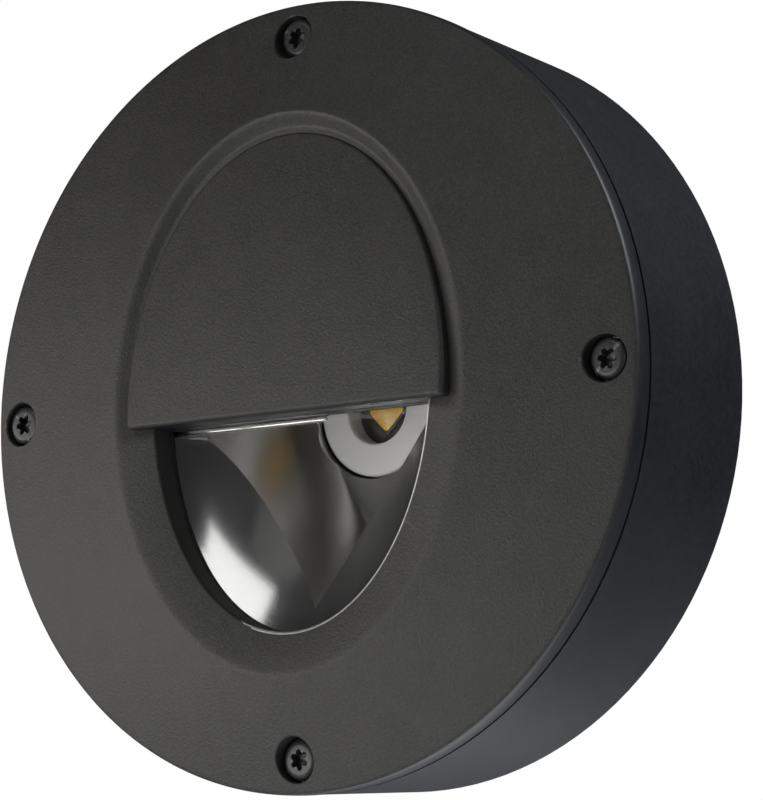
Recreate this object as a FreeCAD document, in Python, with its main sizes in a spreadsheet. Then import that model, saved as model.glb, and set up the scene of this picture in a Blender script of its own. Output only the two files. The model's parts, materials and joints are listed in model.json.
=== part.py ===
import FreeCAD, Part
import math
import os
import Sketcher
from FreeCAD import Placement, Rotation, Vector

# Round surface-mounted step light with an eyelid hood.
# Frame: +Z up, the face looks along -Y, and the origin is the centre of the face that lies
# on the wall. "Level" is the distance out from the wall, so a point at level 40 has Y = -40.
# Outlines are drawn looking at the light from the front: X to the right and Z up.

DRIVING_SIZES = {
    # Outline. The insets below run inwards from it, so that the housing follows the cover.
    "cover_radius": 77.5,
    # Cast housing
    "cover_overhang": 0.2,          # the cover stands this far proud of the housing
    "housing_draft": 1.36,          # the housing is this much smaller in radius at the wall
    "housing_front": 35.2,          # level of the housing's front edge
    "floor_thickness": 3.2,
    "wall_thickness": 3.4,
    "flange_width": 15.3,           # the flange carries the cover gasket
    "flange_thickness": 5.0,
    "boss_radius": 4.6,
    # Cover screws
    "screw_inset": 6.76,
    "screw_radius": 2.0,
    "screw_length": 17.0,
    "screw_head_radius": 3.75,
    "screw_head_height": 2.0,
    "screw_head_dome": 0.9,
    "drive_outer_radius": 2.0,
    "drive_inner_radius": 1.5,
    "drive_depth": 1.3,
    "pilot_depth": 18.0,
    "washer_thickness": 0.5,
    "washer_margin": 0.15,
    # Cast cover
    "parting_gap": 0.35,
    "rim_level": 40.0,
    "rim_rounding": 1.7,
    "rim_back_bevel": 1.5,
    "screw_seat_level": 36.7,
    "counterbore_radius": 4.4,
    "screw_hole_radius": 2.3,
    "crest_level": 45.0,
    "crest_half_width": 41.9,
    "crest_half_height": 54.7,
    "recess_level": 43.5,
    "opening_half_width": 33.2,
    "opening_half_height": 46.4,
    "cover_cavity_inset": 17.5,
    "cover_cavity_level": 40.4,
    "cover_cavity_draft": 4.0,
    "collar_wall": 3.0,
    "collar_level": 38.8,
    # Hood
    "hood_foot_level": 43.2,
    "hood_foot_half_width": 39.4,
    "hood_foot_half_height": 52.2,
    "hood_draft": 0.7,
    "hood_foot_groove": 0.35,
    "lip_height": -4.5,
    "lip_level": 46.4,
    "hood_crown_level": 43.35,
    "hood_rounding": 0.9,
    # Lens
    "lens_gasket_thickness": 1.0,
    "glass_thickness": 3.0,
    "glass_margin": 2.8,
    "glass_top": -0.5,
    "frame_thickness": 2.0,
    "frame_inner_margin": 0.5,
    "frame_wall": 5.5,
    "frame_inner_top": -2.4,
    "frame_outer_top": 3.0,
    "frame_screw_radius": 1.25,
    "frame_screw_length": 6.0,
    "frame_boss_radius": 3.0,
    "frame_ear_margin": 1.0,
    "frame_upper_boss_across": 37.5,
    "frame_upper_boss_height": 3.2,
    "frame_lower_boss_across": 33.5,
    "frame_lower_boss_height": -31.5,
    # Reflector
    "reflector_gap": 0.3,
    "reflector_wall": 1.0,
    "reflector_back": 13.2,
    "lamp_hole_radius": 14.2,
    "dish_rim_depth": 2.4,
    "dish_rim_inset": 2.6,
    "dish_depth": 5.2,
    "dish_inset": 13.0,
    "trough_half_width": 29.0,
    "trough_foot_height": -43.0,
    "trough_back_half_width": 23.0,
    "trough_back_top": 13.0,
    "trough_back_foot": -27.0,
    "ear_across": 38.0,
    "ear_height": -4.0,
    "ear_half_width": 4.0,
    "ear_level": 18.0,
    "ear_thickness": 2.0,
    "post_radius": 3.6,
    "small_screw_radius": 1.5,
    "small_screw_head_radius": 2.8,  # to the corners of the hexagon
    "small_screw_head_height": 1.8,
    "small_screw_length": 6.0,
    # Lamp
    "pedestal_radius": 17.0,
    "pedestal_level": 7.6,
    "pad_radius": 8.5,              # inside the holder screws
    "pad_thickness": 0.4,
    "board_radius": 12.5,
    "board_thickness": 1.6,
    "lamp_base_side": 7.4,
    "lamp_base_thickness": 0.4,
    "emitter_side": 6.4,
    "emitter_thickness": 0.3,
    "holder_radius": 13.7,
    "holder_bore_radius": 6.9,
    "holder_height": 4.0,
    "holder_rounding": 0.6,
    "holder_screw_radius": 1.0,
    "holder_screw_head_radius": 1.9,
    "holder_screw_head_height": 1.2,
    "holder_screw_length": 9.0,
    "holder_screw_offset": 7.3,
    # Gaskets
    "gasket_inset": 12.5,
    "gasket_width": 3.0,
    "gasket_groove_depth": 1.6,
    "wall_gasket_inset": 9.5,
    "wall_gasket_width": 4.0,
    "wall_gasket_depth": 2.0,
    "seal_side_gap": 0.1,
    # Wall fixing and cable entry
    "fixing_spacing": 108.0,
    "fixing_hole_radius": 2.6,
    "fixing_pad_radius": 6.0,
    "fixing_pad_height": 2.0,
    "entry_across": -28.0,
    "entry_height": -30.0,
    "entry_hole_radius": 8.0,
    "grommet_bore_radius": 4.0,
    "grommet_lip_width": 2.4,
    "grommet_lip_thickness": 1.6,
    "grommet_nose_length": 5.0,
    "grommet_nose_wall": 1.8,
    "grommet_gap": 0.2,
    # Cable clamp
    "clamp_across": -41.0,
    "clamp_height": -14.0,
    "clamp_length": 24.0,
    "clamp_width": 7.0,
    "clamp_thickness": 3.0,
    "clamp_post_spacing": 16.0,
    "clamp_post_radius": 3.0,
    "clamp_post_level": 9.5,
    "clamp_saddle_radius": 4.0,
    "clamp_saddle_drop": 3.0,
    # Driver
    "driver_across": 8.0,
    "driver_height": 37.0,
    "driver_width": 56.0,
    "driver_depth": 26.0,
    "driver_rise": 17.0,
    "driver_rounding": 2.0,
    "driver_lid_thickness": 1.6,
    "driver_lid_margin": 1.2,
    "driver_tab_length": 6.0,
    "driver_tab_thickness": 2.0,
    "driver_tab_width": 9.0,
    "driver_tab_drop": 6.5,
    "driver_screw_length": 4.5,
    # Terminal block
    "terminal_across": -38.0,
    "terminal_height": 30.0,
    "terminal_width": 12.0,
    "terminal_tower_width": 9.6,
    "terminal_pitch": 9.0,
    "terminal_tower_gap": 1.0,
    "terminal_rise": 11.0,
    "terminal_shoulder": 3.0,
    "terminal_bore_radius": 1.5,
    "terminal_bore_depth": 4.0,
    "terminal_wire_level": 4.8,
    "terminal_screw_radius": 1.7,
    "terminal_screw_height": 1.8,
    # Earth point
    "earth_across": -54.0,
    "earth_height": 21.0,
    "earth_boss_radius": 3.4,
    "earth_tag_thickness": 0.8,
    "earth_tag_radius": 3.4,
    # Inner leads
    "lead_radius": 0.8,
    "lamp_lead_offset": 3.0,
    "lamp_lead_end": 9.5,
    "lamp_lead_slot_width": 2.4,
    "lamp_lead_slot_height": 2.0,
    # Clearances
    "running_gap": 0.05,
    "head_gap": 0.05,
    "overrun": 1.0,                 # how far a cut or a joined pad runs past its face
}


class Size:
    """A size with its value now and the formula that the sheet works out."""

    def __init__(self, value, text):
        self.value = value
        self.text = text

    def join(self, other, sign, value):
        other = as_size(other)
        return Size(value, "(%s %s %s)" % (self.text, sign, other.text))

    def __add__(self, other):
        return self.join(other, "+", self.value + as_size(other).value)

    def __sub__(self, other):
        return self.join(other, "-", self.value - as_size(other).value)

    def __mul__(self, other):
        return self.join(other, "*", self.value * as_size(other).value)

    def __truediv__(self, other):
        return self.join(other, "/", self.value / as_size(other).value)

    def __neg__(self):
        return Size(-self.value, "(0 - %s)" % self.text)


def as_size(number):
    if isinstance(number, Size):
        return number
    return Size(float(number), repr(float(number)))


class SizeBook:
    """Gives each driving size by its name."""


doc = FreeCAD.newDocument("step_light")
sheet = doc.addObject("Spreadsheet::Sheet", "Sizes")
s = SizeBook()
for row, (name, number) in enumerate(DRIVING_SIZES.items(), start=1):
    sheet.set("A%d" % row, name)
    sheet.set("B%d" % row, str(number))
    sheet.setAlias("B%d" % row, name)
    setattr(s, name, Size(number, "Sizes." + name))
doc.recompute()

NOTHING = as_size(0.0)
CORNER = 1 - math.sqrt(0.5)     # the middle of a round corner lies this share of its radius in
subparts = []


# ---------------------------------------------------------------- helpers

def bind(owner, path, size):
    """Tie one property or one constraint to the sheet."""
    owner.setExpression(path, as_size(size).text)


def new_body(label, across=NOTHING, height=NOTHING, turn=0.0):
    """A body whose own axis may stand away from the light's centre line."""
    body = doc.addObject("PartDesign::Body", label)
    body.Label = label
    body.Placement = Placement(Vector(across.value, 0, height.value), Rotation(Vector(0, 1, 0), turn))
    bind(body, "Placement.Base.x", across)
    bind(body, "Placement.Base.z", height)
    subparts.append(body)
    return body


def new_sketch(body, level=NOTHING, plane="XZ_Plane", tilt=0.0):
    """A sketch on one of the body's own planes, moved along its normal; tilt leans its top back."""
    sketch = body.newObject("Sketcher::SketchObject", body.Name + "_sketch")
    origin_plane = [f for f in body.Origin.OriginFeatures if f.Role == plane][0]
    sketch.AttachmentSupport = [(origin_plane, "")]
    sketch.MapMode = "FlatFace"
    level = as_size(level)
    sketch.AttachmentOffset = Placement(Vector(0, 0, level.value), Rotation(Vector(-1, 0, 0), tilt))
    bind(sketch, "AttachmentOffset.Base.z", level)
    return sketch


def measured(sketch, size, *constraint):
    """Add a dimension to a sketch and tie it to the sheet."""
    size = as_size(size)
    index = sketch.addConstraint(Sketcher.Constraint(*constraint, size.value))
    bind(sketch, "Constraints[%d]" % index, size)


def polygon(sketch, corners):
    """A closed outline of straight lines through corners measured from the origin."""
    corners = [(as_size(x), as_size(y)) for x, y in corners]
    points = [Vector(x.value, y.value, 0) for x, y in corners]
    first = sketch.GeometryCount
    count = len(points)
    for i in range(count):
        sketch.addGeometry(Part.LineSegment(points[i], points[(i + 1) % count]), False)
    for i in range(count):
        sketch.addConstraint(Sketcher.Constraint("Coincident", first + i, 2, first + (i + 1) % count, 1))
    for i, (x, y) in enumerate(corners):
        measured(sketch, x, "DistanceX", -1, 1, first + i, 1)
        measured(sketch, y, "DistanceY", -1, 1, first + i, 1)
    return sketch


def circle(sketch, radius, across=NOTHING, height=NOTHING):
    radius, across, height = as_size(radius), as_size(across), as_size(height)
    centre = Vector(across.value, height.value, 0)
    index = sketch.addGeometry(Part.Circle(centre, Vector(0, 0, 1), radius.value), False)
    measured(sketch, radius, "Radius", index)
    measured(sketch, across, "DistanceX", -1, 1, index, 3)
    measured(sketch, height, "DistanceY", -1, 1, index, 3)
    return sketch


def rectangle(sketch, width, depth, across=NOTHING, height=NOTHING):
    """A rectangle given by its two sides and its centre."""
    left, right = across - width / 2, across + width / 2
    low, high = height - depth / 2, height + depth / 2
    return polygon(sketch, [(left, low), (right, low), (right, high), (left, high)])


def star(sketch, outer, inner, points, across=NOTHING, height=NOTHING):
    """A closed star whose corners lie in turn on an outer and an inner circle."""
    corners = []
    for step in range(points * 2):
        turn = math.pi * step / points
        radius = inner if step % 2 else outer
        corners.append((across + radius * round(math.cos(turn), 6), height + radius * round(math.sin(turn), 6)))
    return polygon(sketch, corners)


def hexagon(sketch, radius, across, height):
    """A regular hexagon given by the radius to its corners."""
    return star(sketch, radius, radius, 3, across, height)


def shape_ellipse(sketch, index, half_width, half_height):
    """Fix an upright ellipse or a part of one by its two half sizes."""
    sketch.exposeInternalGeometry(index)
    sketch.addConstraint(Sketcher.Constraint("Coincident", index, 3, -1, 1))
    sketch.addConstraint(Sketcher.Constraint("Vertical", index + 1))
    measured(sketch, half_height * 2, "Distance", index + 1)
    measured(sketch, half_width * 2, "Distance", index + 2)


def upright_ellipse(half_width, half_height):
    return Part.Ellipse(Vector(0, half_height.value, 0), Vector(half_width.value, 0, 0), Vector(0, 0, 0))


def ellipse(sketch, half_width, half_height):
    index = sketch.addGeometry(upright_ellipse(half_width, half_height), False)
    shape_ellipse(sketch, index, half_width, half_height)
    return sketch


def cut_ellipse(sketch, half_width, half_height, cut, keep_upper):
    """The part of an upright ellipse above or below a level line."""
    whole = upright_ellipse(half_width, half_height)
    turn = math.acos(cut.value / half_height.value)
    start, end = (-turn, turn) if keep_upper else (turn, 2 * math.pi - turn)
    arc = Part.ArcOfEllipse(whole, start, end)
    index = sketch.addGeometry(arc, False)
    shape_ellipse(sketch, index, half_width, half_height)
    line = sketch.addGeometry(Part.LineSegment(arc.EndPoint, arc.StartPoint), False)
    sketch.addConstraint(Sketcher.Constraint("Coincident", index, 2, line, 1))
    sketch.addConstraint(Sketcher.Constraint("Coincident", index, 1, line, 2))
    sketch.addConstraint(Sketcher.Constraint("Horizontal", line))
    measured(sketch, cut, "DistanceY", -1, 1, line, 1)
    return sketch


def pad(body, sketch, length):
    """Raise an outline outwards, away from the wall."""
    feature = body.newObject("PartDesign::Pad", body.Name + "_pad")
    feature.Profile = sketch
    bind(feature, "Length", length)
    return feature


def pocket(body, sketch, length, outwards=False):
    """Cut an outline, towards the wall unless it is told to go outwards."""
    feature = body.newObject("PartDesign::Pocket", body.Name + "_pocket")
    feature.Profile = sketch
    feature.Reversed = outwards
    bind(feature, "Length", length)
    return feature


def turned(body, corners, cut=False):
    """Turn a half section, given as radius and level, about the body's own axis."""
    sketch = new_sketch(body, plane="XY_Plane")
    polygon(sketch, [(radius, -as_size(level)) for radius, level in corners])
    kind = "PartDesign::Groove" if cut else "PartDesign::Revolution"
    feature = body.newObject(kind, body.Name + "_turned")
    feature.Profile = sketch
    feature.ReferenceAxis = (sketch, ["V_Axis"])
    feature.Angle = 360.0
    return feature


def ring(body, inner, outer, low, high, cut=False):
    """A plain ring between two radii and two levels."""
    return turned(body, [(inner, low), (outer, low), (outer, high), (inner, high)], cut)


def loft(body, sketches, cut=False, ruled=True):
    kind = "PartDesign::SubtractiveLoft" if cut else "PartDesign::AdditiveLoft"
    feature = body.newObject(kind, body.Name + "_loft")
    feature.Profile = sketches[0]
    feature.Sections = sketches[1:]
    feature.Ruled = ruled
    return feature


def repeat_round(body, features, count):
    """Repeat features about the body's own axis."""
    pattern = body.newObject("PartDesign::PolarPattern", body.Name + "_pattern")
    pattern.Originals = features
    axis = [f for f in body.Origin.OriginFeatures if f.Role == "Y_Axis"][0]
    pattern.Axis = (axis, [""])
    pattern.Angle = 360.0
    pattern.Occurrences = count
    body.Tip = pattern
    return pattern


def round_edges(body, pick, radius, kind="PartDesign::Fillet"):
    """Round or bevel the edges of the body's last feature that pick says yes to."""
    doc.recompute()
    base = body.Tip
    names = ["Edge%d" % (i + 1) for i, edge in enumerate(base.Shape.Edges) if pick(edge)]
    feature = body.newObject(kind, body.Name + "_rounding")
    feature.Base = (base, names)
    bind(feature, "Radius" if kind.endswith("Fillet") else "Size", radius)
    return feature


# ---------------------------------------------------------------- derived levels and places

cover_back = s.housing_front + s.parting_gap
flange_back = s.housing_front - s.flange_thickness
housing_front_radius = s.cover_radius - s.cover_overhang
wall_face_radius = housing_front_radius - s.housing_draft
wall_inner_radius = wall_face_radius - s.wall_thickness
front_inner_radius = housing_front_radius - s.wall_thickness
flange_inner_radius = housing_front_radius - s.flange_width
screw_circle_radius = s.cover_radius - s.screw_inset
gasket_circle_radius = s.cover_radius - s.gasket_inset
wall_gasket_radius = s.cover_radius - s.wall_gasket_inset
washer_top = s.screw_seat_level + s.washer_thickness
lens_front = s.collar_level - s.lens_gasket_thickness
glass_back = lens_front - s.glass_thickness
frame_back = glass_back - s.frame_thickness
reflector_front = glass_back - s.reflector_gap
board_back = s.pedestal_level + s.pad_thickness
board_front = board_back + s.board_thickness
base_front = board_front + s.lamp_base_thickness
holder_front = board_front + s.holder_height
terminal_wire_level = s.floor_thickness + s.terminal_wire_level
holder_screw_end = holder_front - s.holder_screw_head_height - s.holder_screw_length
screw_places = {"top": (0, 1), "right": (1, 0), "bottom": (0, -1), "left": (-1, 0)}
frame_boss_places = [
    (s.frame_upper_boss_across, s.frame_upper_boss_height),
    (-s.frame_upper_boss_across, s.frame_upper_boss_height),
    (s.frame_lower_boss_across, s.frame_lower_boss_height),
    (-s.frame_lower_boss_across, s.frame_lower_boss_height),
]
ear_places = [(s.ear_across, s.ear_height), (-s.ear_across, s.ear_height)]
holder_screw_places = [
    (s.holder_screw_offset, s.holder_screw_offset),
    (-s.holder_screw_offset, s.holder_screw_offset),
]
earth_boss_level = terminal_wire_level - s.earth_tag_thickness / 2
clamp_places = [
    (s.clamp_across - s.clamp_post_spacing / 2, s.clamp_height),
    (s.clamp_across + s.clamp_post_spacing / 2, s.clamp_height),
]
driver_tab_across = s.driver_width / 2 + s.driver_tab_length / 2
driver_tab_height = s.driver_height - s.driver_tab_drop
driver_tab_places = [
    (s.driver_across - driver_tab_across, driver_tab_height),
    (s.driver_across + driver_tab_across, driver_tab_height),
]


# ---------------------------------------------------------------- housing

def make_housing():
    """The cast cup: drafted wall, floor, screw bosses, lamp pedestal and posts."""
    body = new_body("housing")
    turned(body, [(0, 0), (wall_face_radius, 0), (housing_front_radius, s.housing_front), (0, s.housing_front)])
    turned(body, [
        (0, s.floor_thickness),
        (wall_inner_radius, s.floor_thickness),
        (front_inner_radius, flange_back),
        (flange_inner_radius, flange_back),
        (flange_inner_radius, s.housing_front + s.overrun),
        (0, s.housing_front + s.overrun),
    ], cut=True)
    bosses = pad(body, circle(new_sketch(body, s.floor_thickness / 2), s.boss_radius, NOTHING,
                              screw_circle_radius), flange_back - s.floor_thickness / 2)
    repeat_round(body, [bosses], 4)
    pilot = pocket(body, circle(new_sketch(body, s.housing_front), s.screw_radius + s.running_gap, NOTHING,
                                screw_circle_radius), s.pilot_depth)
    repeat_round(body, [pilot], 4)
    half_groove = s.gasket_width / 2 + s.seal_side_gap
    ring(body, gasket_circle_radius - half_groove, gasket_circle_radius + half_groove,
         s.housing_front - s.gasket_groove_depth, s.housing_front + s.overrun, cut=True)
    half_seal = s.wall_gasket_width / 2 + s.seal_side_gap
    ring(body, wall_gasket_radius - half_seal, wall_gasket_radius + half_seal, -s.overrun,
         s.wall_gasket_depth, cut=True)

    start = s.floor_thickness / 2
    pad(body, circle(new_sketch(body, start), s.pedestal_radius), s.pedestal_level - start)
    half_spacing = s.fixing_spacing / 2
    pads = new_sketch(body, start)
    for side in (half_spacing, -half_spacing):
        circle(pads, s.fixing_pad_radius, side)
    pad(body, pads, s.floor_thickness + s.fixing_pad_height - start)
    posts = new_sketch(body, start)
    for across, height in ear_places:
        circle(posts, s.post_radius, across, height)
    pad(body, posts, s.ear_level - start)
    clamp_posts = new_sketch(body, start)
    for across, height in clamp_places:
        circle(clamp_posts, s.clamp_post_radius, across, height)
    pad(body, clamp_posts, s.clamp_post_level - start)
    pad(body, circle(new_sketch(body, start), s.earth_boss_radius, s.earth_across, s.earth_height),
        earth_boss_level - start)

    fixings = new_sketch(body, s.floor_thickness + s.fixing_pad_height)
    for side in (half_spacing, -half_spacing):
        circle(fixings, s.fixing_hole_radius, side)
    pocket(body, fixings, s.floor_thickness + s.fixing_pad_height)
    pocket(body, circle(new_sketch(body, s.floor_thickness), s.entry_hole_radius, s.entry_across,
                        s.entry_height), s.floor_thickness)
    drill(body, ear_places, s.ear_level, s.small_screw_radius, s.small_screw_length)
    drill(body, clamp_places, s.clamp_post_level, s.small_screw_radius, s.small_screw_length)
    drill(body, [(s.earth_across, s.earth_height)], earth_boss_level, s.small_screw_radius,
          s.small_screw_length)
    drill(body, holder_screw_places, s.pedestal_level, s.holder_screw_radius,
          s.pedestal_level - holder_screw_end + s.running_gap)
    drill(body, driver_tab_places, s.floor_thickness, s.small_screw_radius,
          s.driver_screw_length - s.driver_tab_thickness + s.running_gap)
    return body


def drill(body, places, level, screw_radius, depth):
    """Screw holes with a running gap, from a level towards the wall."""
    sketch = new_sketch(body, level)
    for across, height in places:
        circle(sketch, screw_radius + s.running_gap, across, height)
    return pocket(body, sketch, depth)


def make_wall_gasket():
    """A flat foam ring pressed into the back of the housing."""
    body = new_body("wall_gasket")
    half = s.wall_gasket_width / 2
    ring(body, wall_gasket_radius - half, wall_gasket_radius + half, NOTHING, s.wall_gasket_depth)


def make_cover_gasket():
    """The silicone ring that seals the cover to the housing."""
    body = new_body("cover_gasket")
    half = s.gasket_width / 2
    ring(body, gasket_circle_radius - half, gasket_circle_radius + half,
         s.housing_front - s.gasket_groove_depth, cover_back)


def make_cable_grommet():
    """The rubber bush of the cable entry: a lip on the floor and a tapered nose round the cable."""
    body = new_body("cable_grommet", s.entry_across, s.entry_height)
    neck = s.entry_hole_radius - s.grommet_gap
    lip = s.entry_hole_radius + s.grommet_lip_width
    lip_front = s.floor_thickness + s.grommet_lip_thickness
    nose_end = lip_front + s.grommet_nose_length
    turned(body, [
        (s.grommet_bore_radius, s.grommet_gap),
        (neck, s.grommet_gap),
        (neck, s.floor_thickness),
        (lip, s.floor_thickness),
        (lip, lip_front),
        (s.grommet_bore_radius + s.grommet_nose_wall, nose_end),
        (s.grommet_bore_radius, nose_end),
    ])


# ---------------------------------------------------------------- cover

def make_cover():
    """The cast cover: raised oval crest, sunk ring, eyelid hood and the light opening."""
    body = new_body("cover")
    rim_face_radius = s.cover_radius - s.rim_rounding
    turned(body, [
        (0, cover_back),
        (housing_front_radius, cover_back),
        (s.cover_radius, cover_back + s.rim_back_bevel),
        (s.cover_radius, s.rim_level - s.rim_rounding),
        (s.cover_radius - s.rim_rounding * CORNER, s.rim_level - s.rim_rounding * CORNER),
        (rim_face_radius, s.rim_level),
        (0, s.rim_level),
    ])
    loft(body, [circle(new_sketch(body, s.rim_level), rim_face_radius),
                ellipse(new_sketch(body, s.crest_level), s.crest_half_width, s.crest_half_height)])
    loft(body, [ellipse(new_sketch(body, s.crest_level), s.crest_half_width, s.crest_half_height),
                ellipse(new_sketch(body, s.recess_level), s.opening_half_width, s.opening_half_height)], cut=True)
    loft(body, [
        cut_ellipse(new_sketch(body, s.crest_level), s.crest_half_width, s.crest_half_height, s.lip_height, True),
        cut_ellipse(new_sketch(body, s.hood_foot_level), s.hood_foot_half_width, s.hood_foot_half_height,
                    s.lip_height, True),
    ], cut=True)
    cavity_radius = s.cover_radius - s.cover_cavity_inset
    turned(body, [(0, cover_back), (cavity_radius, cover_back),
                  (cavity_radius - s.cover_cavity_draft, s.cover_cavity_level), (0, s.cover_cavity_level)], cut=True)
    make_hood(body)
    make_light_opening(body)

    bosses = new_sketch(body, glass_back)
    for across, height in frame_boss_places:
        circle(bosses, s.frame_boss_radius, across, height)
    pad(body, bosses, s.cover_cavity_level + s.overrun - glass_back)
    holes = new_sketch(body, glass_back)
    for across, height in frame_boss_places:
        circle(holes, s.frame_screw_radius + s.running_gap, across, height)
    pocket(body, holes, s.frame_screw_length - s.frame_thickness, outwards=True)

    seat = pocket(body, circle(new_sketch(body, s.crest_level), s.counterbore_radius, NOTHING,
                               screw_circle_radius), s.crest_level - s.screw_seat_level)
    repeat_round(body, [seat], 4)
    hole = pocket(body, circle(new_sketch(body, s.crest_level), s.screw_hole_radius, NOTHING,
                               screw_circle_radius), s.crest_level)
    repeat_round(body, [hole], 4)
    return body


def make_hood(body):
    """The eyelid: a half oval whose flat front leans out to its lip, with a rounded edge."""
    full_half_width = s.hood_foot_half_width - s.hood_foot_groove
    full_half_height = s.hood_foot_half_height - s.hood_foot_groove
    sections = [cut_ellipse(new_sketch(body, s.cover_cavity_level), full_half_width, full_half_height,
                            s.lip_height, True)]
    for below_front, inset in ((1.0, 0.0), (CORNER, CORNER), (0.0, 1.0)):
        drawn_in = s.hood_draft + s.hood_rounding * inset
        sections.append(cut_ellipse(
            leaning_sketch(body, s.hood_rounding * below_front), full_half_width - drawn_in,
            full_half_height - drawn_in, s.lip_height + s.hood_rounding * inset, True))
    loft(body, sections)


def leaning_sketch(body, below_front):
    """A sketch parallel to the hood's front, which leans out from its crown to its lip."""
    rise = s.lip_level - s.hood_crown_level
    run = s.hood_foot_half_height - s.lip_height
    level_at_centre = s.lip_level + rise * s.lip_height / run - below_front
    sketch = new_sketch(body, level_at_centre, tilt=math.degrees(math.atan(rise.value / run.value)))
    sketch.setExpression("AttachmentOffset.Rotation.Angle", "atan(%s / %s)" % (rise.text, run.text))
    return sketch


def make_light_opening(body):
    """The half oval opening under the lip, with a collar that reaches back to the lens."""
    collar_half_width = s.opening_half_width + s.collar_wall
    collar_half_height = s.opening_half_height + s.collar_wall
    collar_top = s.lip_height + s.collar_wall
    pad(body, cut_ellipse(new_sketch(body, s.collar_level), collar_half_width, collar_half_height, collar_top, False),
        s.cover_cavity_level + s.overrun - s.collar_level)
    pocket(body, cut_ellipse(new_sketch(body, s.lip_level), s.opening_half_width, s.opening_half_height,
                             s.lip_height, False), s.lip_level)


def make_cover_screws():
    """Four button-head screws with six-lobed drives, each its own piece."""
    for name, (side, rise) in screw_places.items():
        body = new_body("cover_screw_" + name, screw_circle_radius * side, screw_circle_radius * rise)
        seat = washer_top + s.head_gap
        crown = seat + s.screw_head_height
        turned(body, [
            (0, seat - s.screw_length),
            (s.screw_radius, seat - s.screw_length),
            (s.screw_radius, seat),
            (s.screw_head_radius, seat),
            (s.screw_head_radius, crown - s.screw_head_dome),
            (s.screw_head_radius - s.screw_head_dome, crown),
            (0, crown),
        ])
        pocket(body, star(new_sketch(body, crown), s.drive_outer_radius, s.drive_inner_radius, 6), s.drive_depth)


def make_screw_washers():
    """Four plain washers that sit on the counterbore floors."""
    body = new_body("screw_washers")
    sketch = new_sketch(body, s.screw_seat_level)
    for side, rise in screw_places.values():
        circle(sketch, s.counterbore_radius - s.washer_margin, screw_circle_radius * side,
               screw_circle_radius * rise)
        circle(sketch, s.screw_hole_radius, screw_circle_radius * side, screw_circle_radius * rise)
    pad(body, sketch, s.washer_thickness)


# ---------------------------------------------------------------- lens

def make_lens_gasket():
    """A flat seal between the collar and the glass."""
    body = new_body("lens_gasket")
    sketch = new_sketch(body, lens_front)
    cut_ellipse(sketch, s.opening_half_width + s.glass_margin, s.opening_half_height + s.glass_margin,
                s.lip_height + s.glass_margin, False)
    cut_ellipse(sketch, s.opening_half_width, s.opening_half_height, s.lip_height, False)
    pad(body, sketch, s.lens_gasket_thickness)


def make_lens_glass():
    """The half oval pane behind the opening."""
    body = new_body("lens_glass")
    pad(body, cut_ellipse(new_sketch(body, glass_back), s.opening_half_width + s.glass_margin,
                          s.opening_half_height + s.glass_margin, s.glass_top, False), s.glass_thickness)


def make_lens_frame():
    """The retaining frame behind the glass, with four screw ears."""
    body = new_body("lens_frame")
    outer_half_width = s.opening_half_width + s.frame_inner_margin + s.frame_wall
    outer_half_height = s.opening_half_height + s.frame_inner_margin + s.frame_wall
    pad(body, cut_ellipse(new_sketch(body, frame_back), outer_half_width, outer_half_height, s.frame_outer_top, False),
        s.frame_thickness)
    ears = new_sketch(body, frame_back)
    for across, height in frame_boss_places:
        circle(ears, s.frame_boss_radius + s.frame_ear_margin, across, height)
    pad(body, ears, s.frame_thickness)
    pocket(body, cut_ellipse(new_sketch(body, glass_back), s.opening_half_width + s.frame_inner_margin,
                             s.opening_half_height + s.frame_inner_margin, s.frame_inner_top, False),
           s.frame_thickness)
    drill(body, frame_boss_places, glass_back, s.frame_screw_radius, s.frame_thickness)


def make_lens_frame_screws():
    """Four small hexagon screws that hold the frame to the cover."""
    body = new_body("lens_frame_screws")
    shanks = new_sketch(body, frame_back)
    heads = new_sketch(body, frame_back - s.small_screw_head_height)
    for across, height in frame_boss_places:
        circle(shanks, s.frame_screw_radius, across, height)
        hexagon(heads, s.small_screw_head_radius, across, height)
    pad(body, heads, s.small_screw_head_height)
    pad(body, shanks, s.frame_screw_length)


# ---------------------------------------------------------------- reflector

def make_reflector():
    """The bright bowl: a shallow oval dish, and a three-sided trough that runs back to the lamp."""
    body = new_body("reflector")
    wall = s.reflector_wall
    dish(body, NOTHING, s.lip_height, reflector_front)
    trough(body, wall)
    ears = new_sketch(body, s.ear_level)
    rectangle(ears, (s.ear_across + s.ear_half_width) * 2, s.ear_half_width * 2, NOTHING, s.ear_height)
    pad(body, ears, s.ear_thickness)
    dish(body, wall, s.lip_height - wall, reflector_front, cut=True)
    trough(body, NOTHING, cut=True)
    pocket(body, circle(new_sketch(body, s.reflector_back + wall), s.lamp_hole_radius), wall)
    drill(body, ear_places, s.ear_level + s.ear_thickness, s.small_screw_radius, s.ear_thickness)


def dish(body, wall, top, front, cut=False):
    """The dish's outside, or its inside where a wall is given: steep at the rim, then flat."""
    sections = []
    for depth, inset in ((NOTHING, NOTHING), (s.dish_rim_depth, s.dish_rim_inset), (s.dish_depth, s.dish_inset)):
        level = front - depth if cut else front - depth - s.reflector_wall * (1 if depth.value else 0)
        sections.append(cut_ellipse(new_sketch(body, level), s.opening_half_width - wall - inset,
                                    s.opening_half_height - wall - inset, top, False))
    return loft(body, sections, cut)


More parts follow.
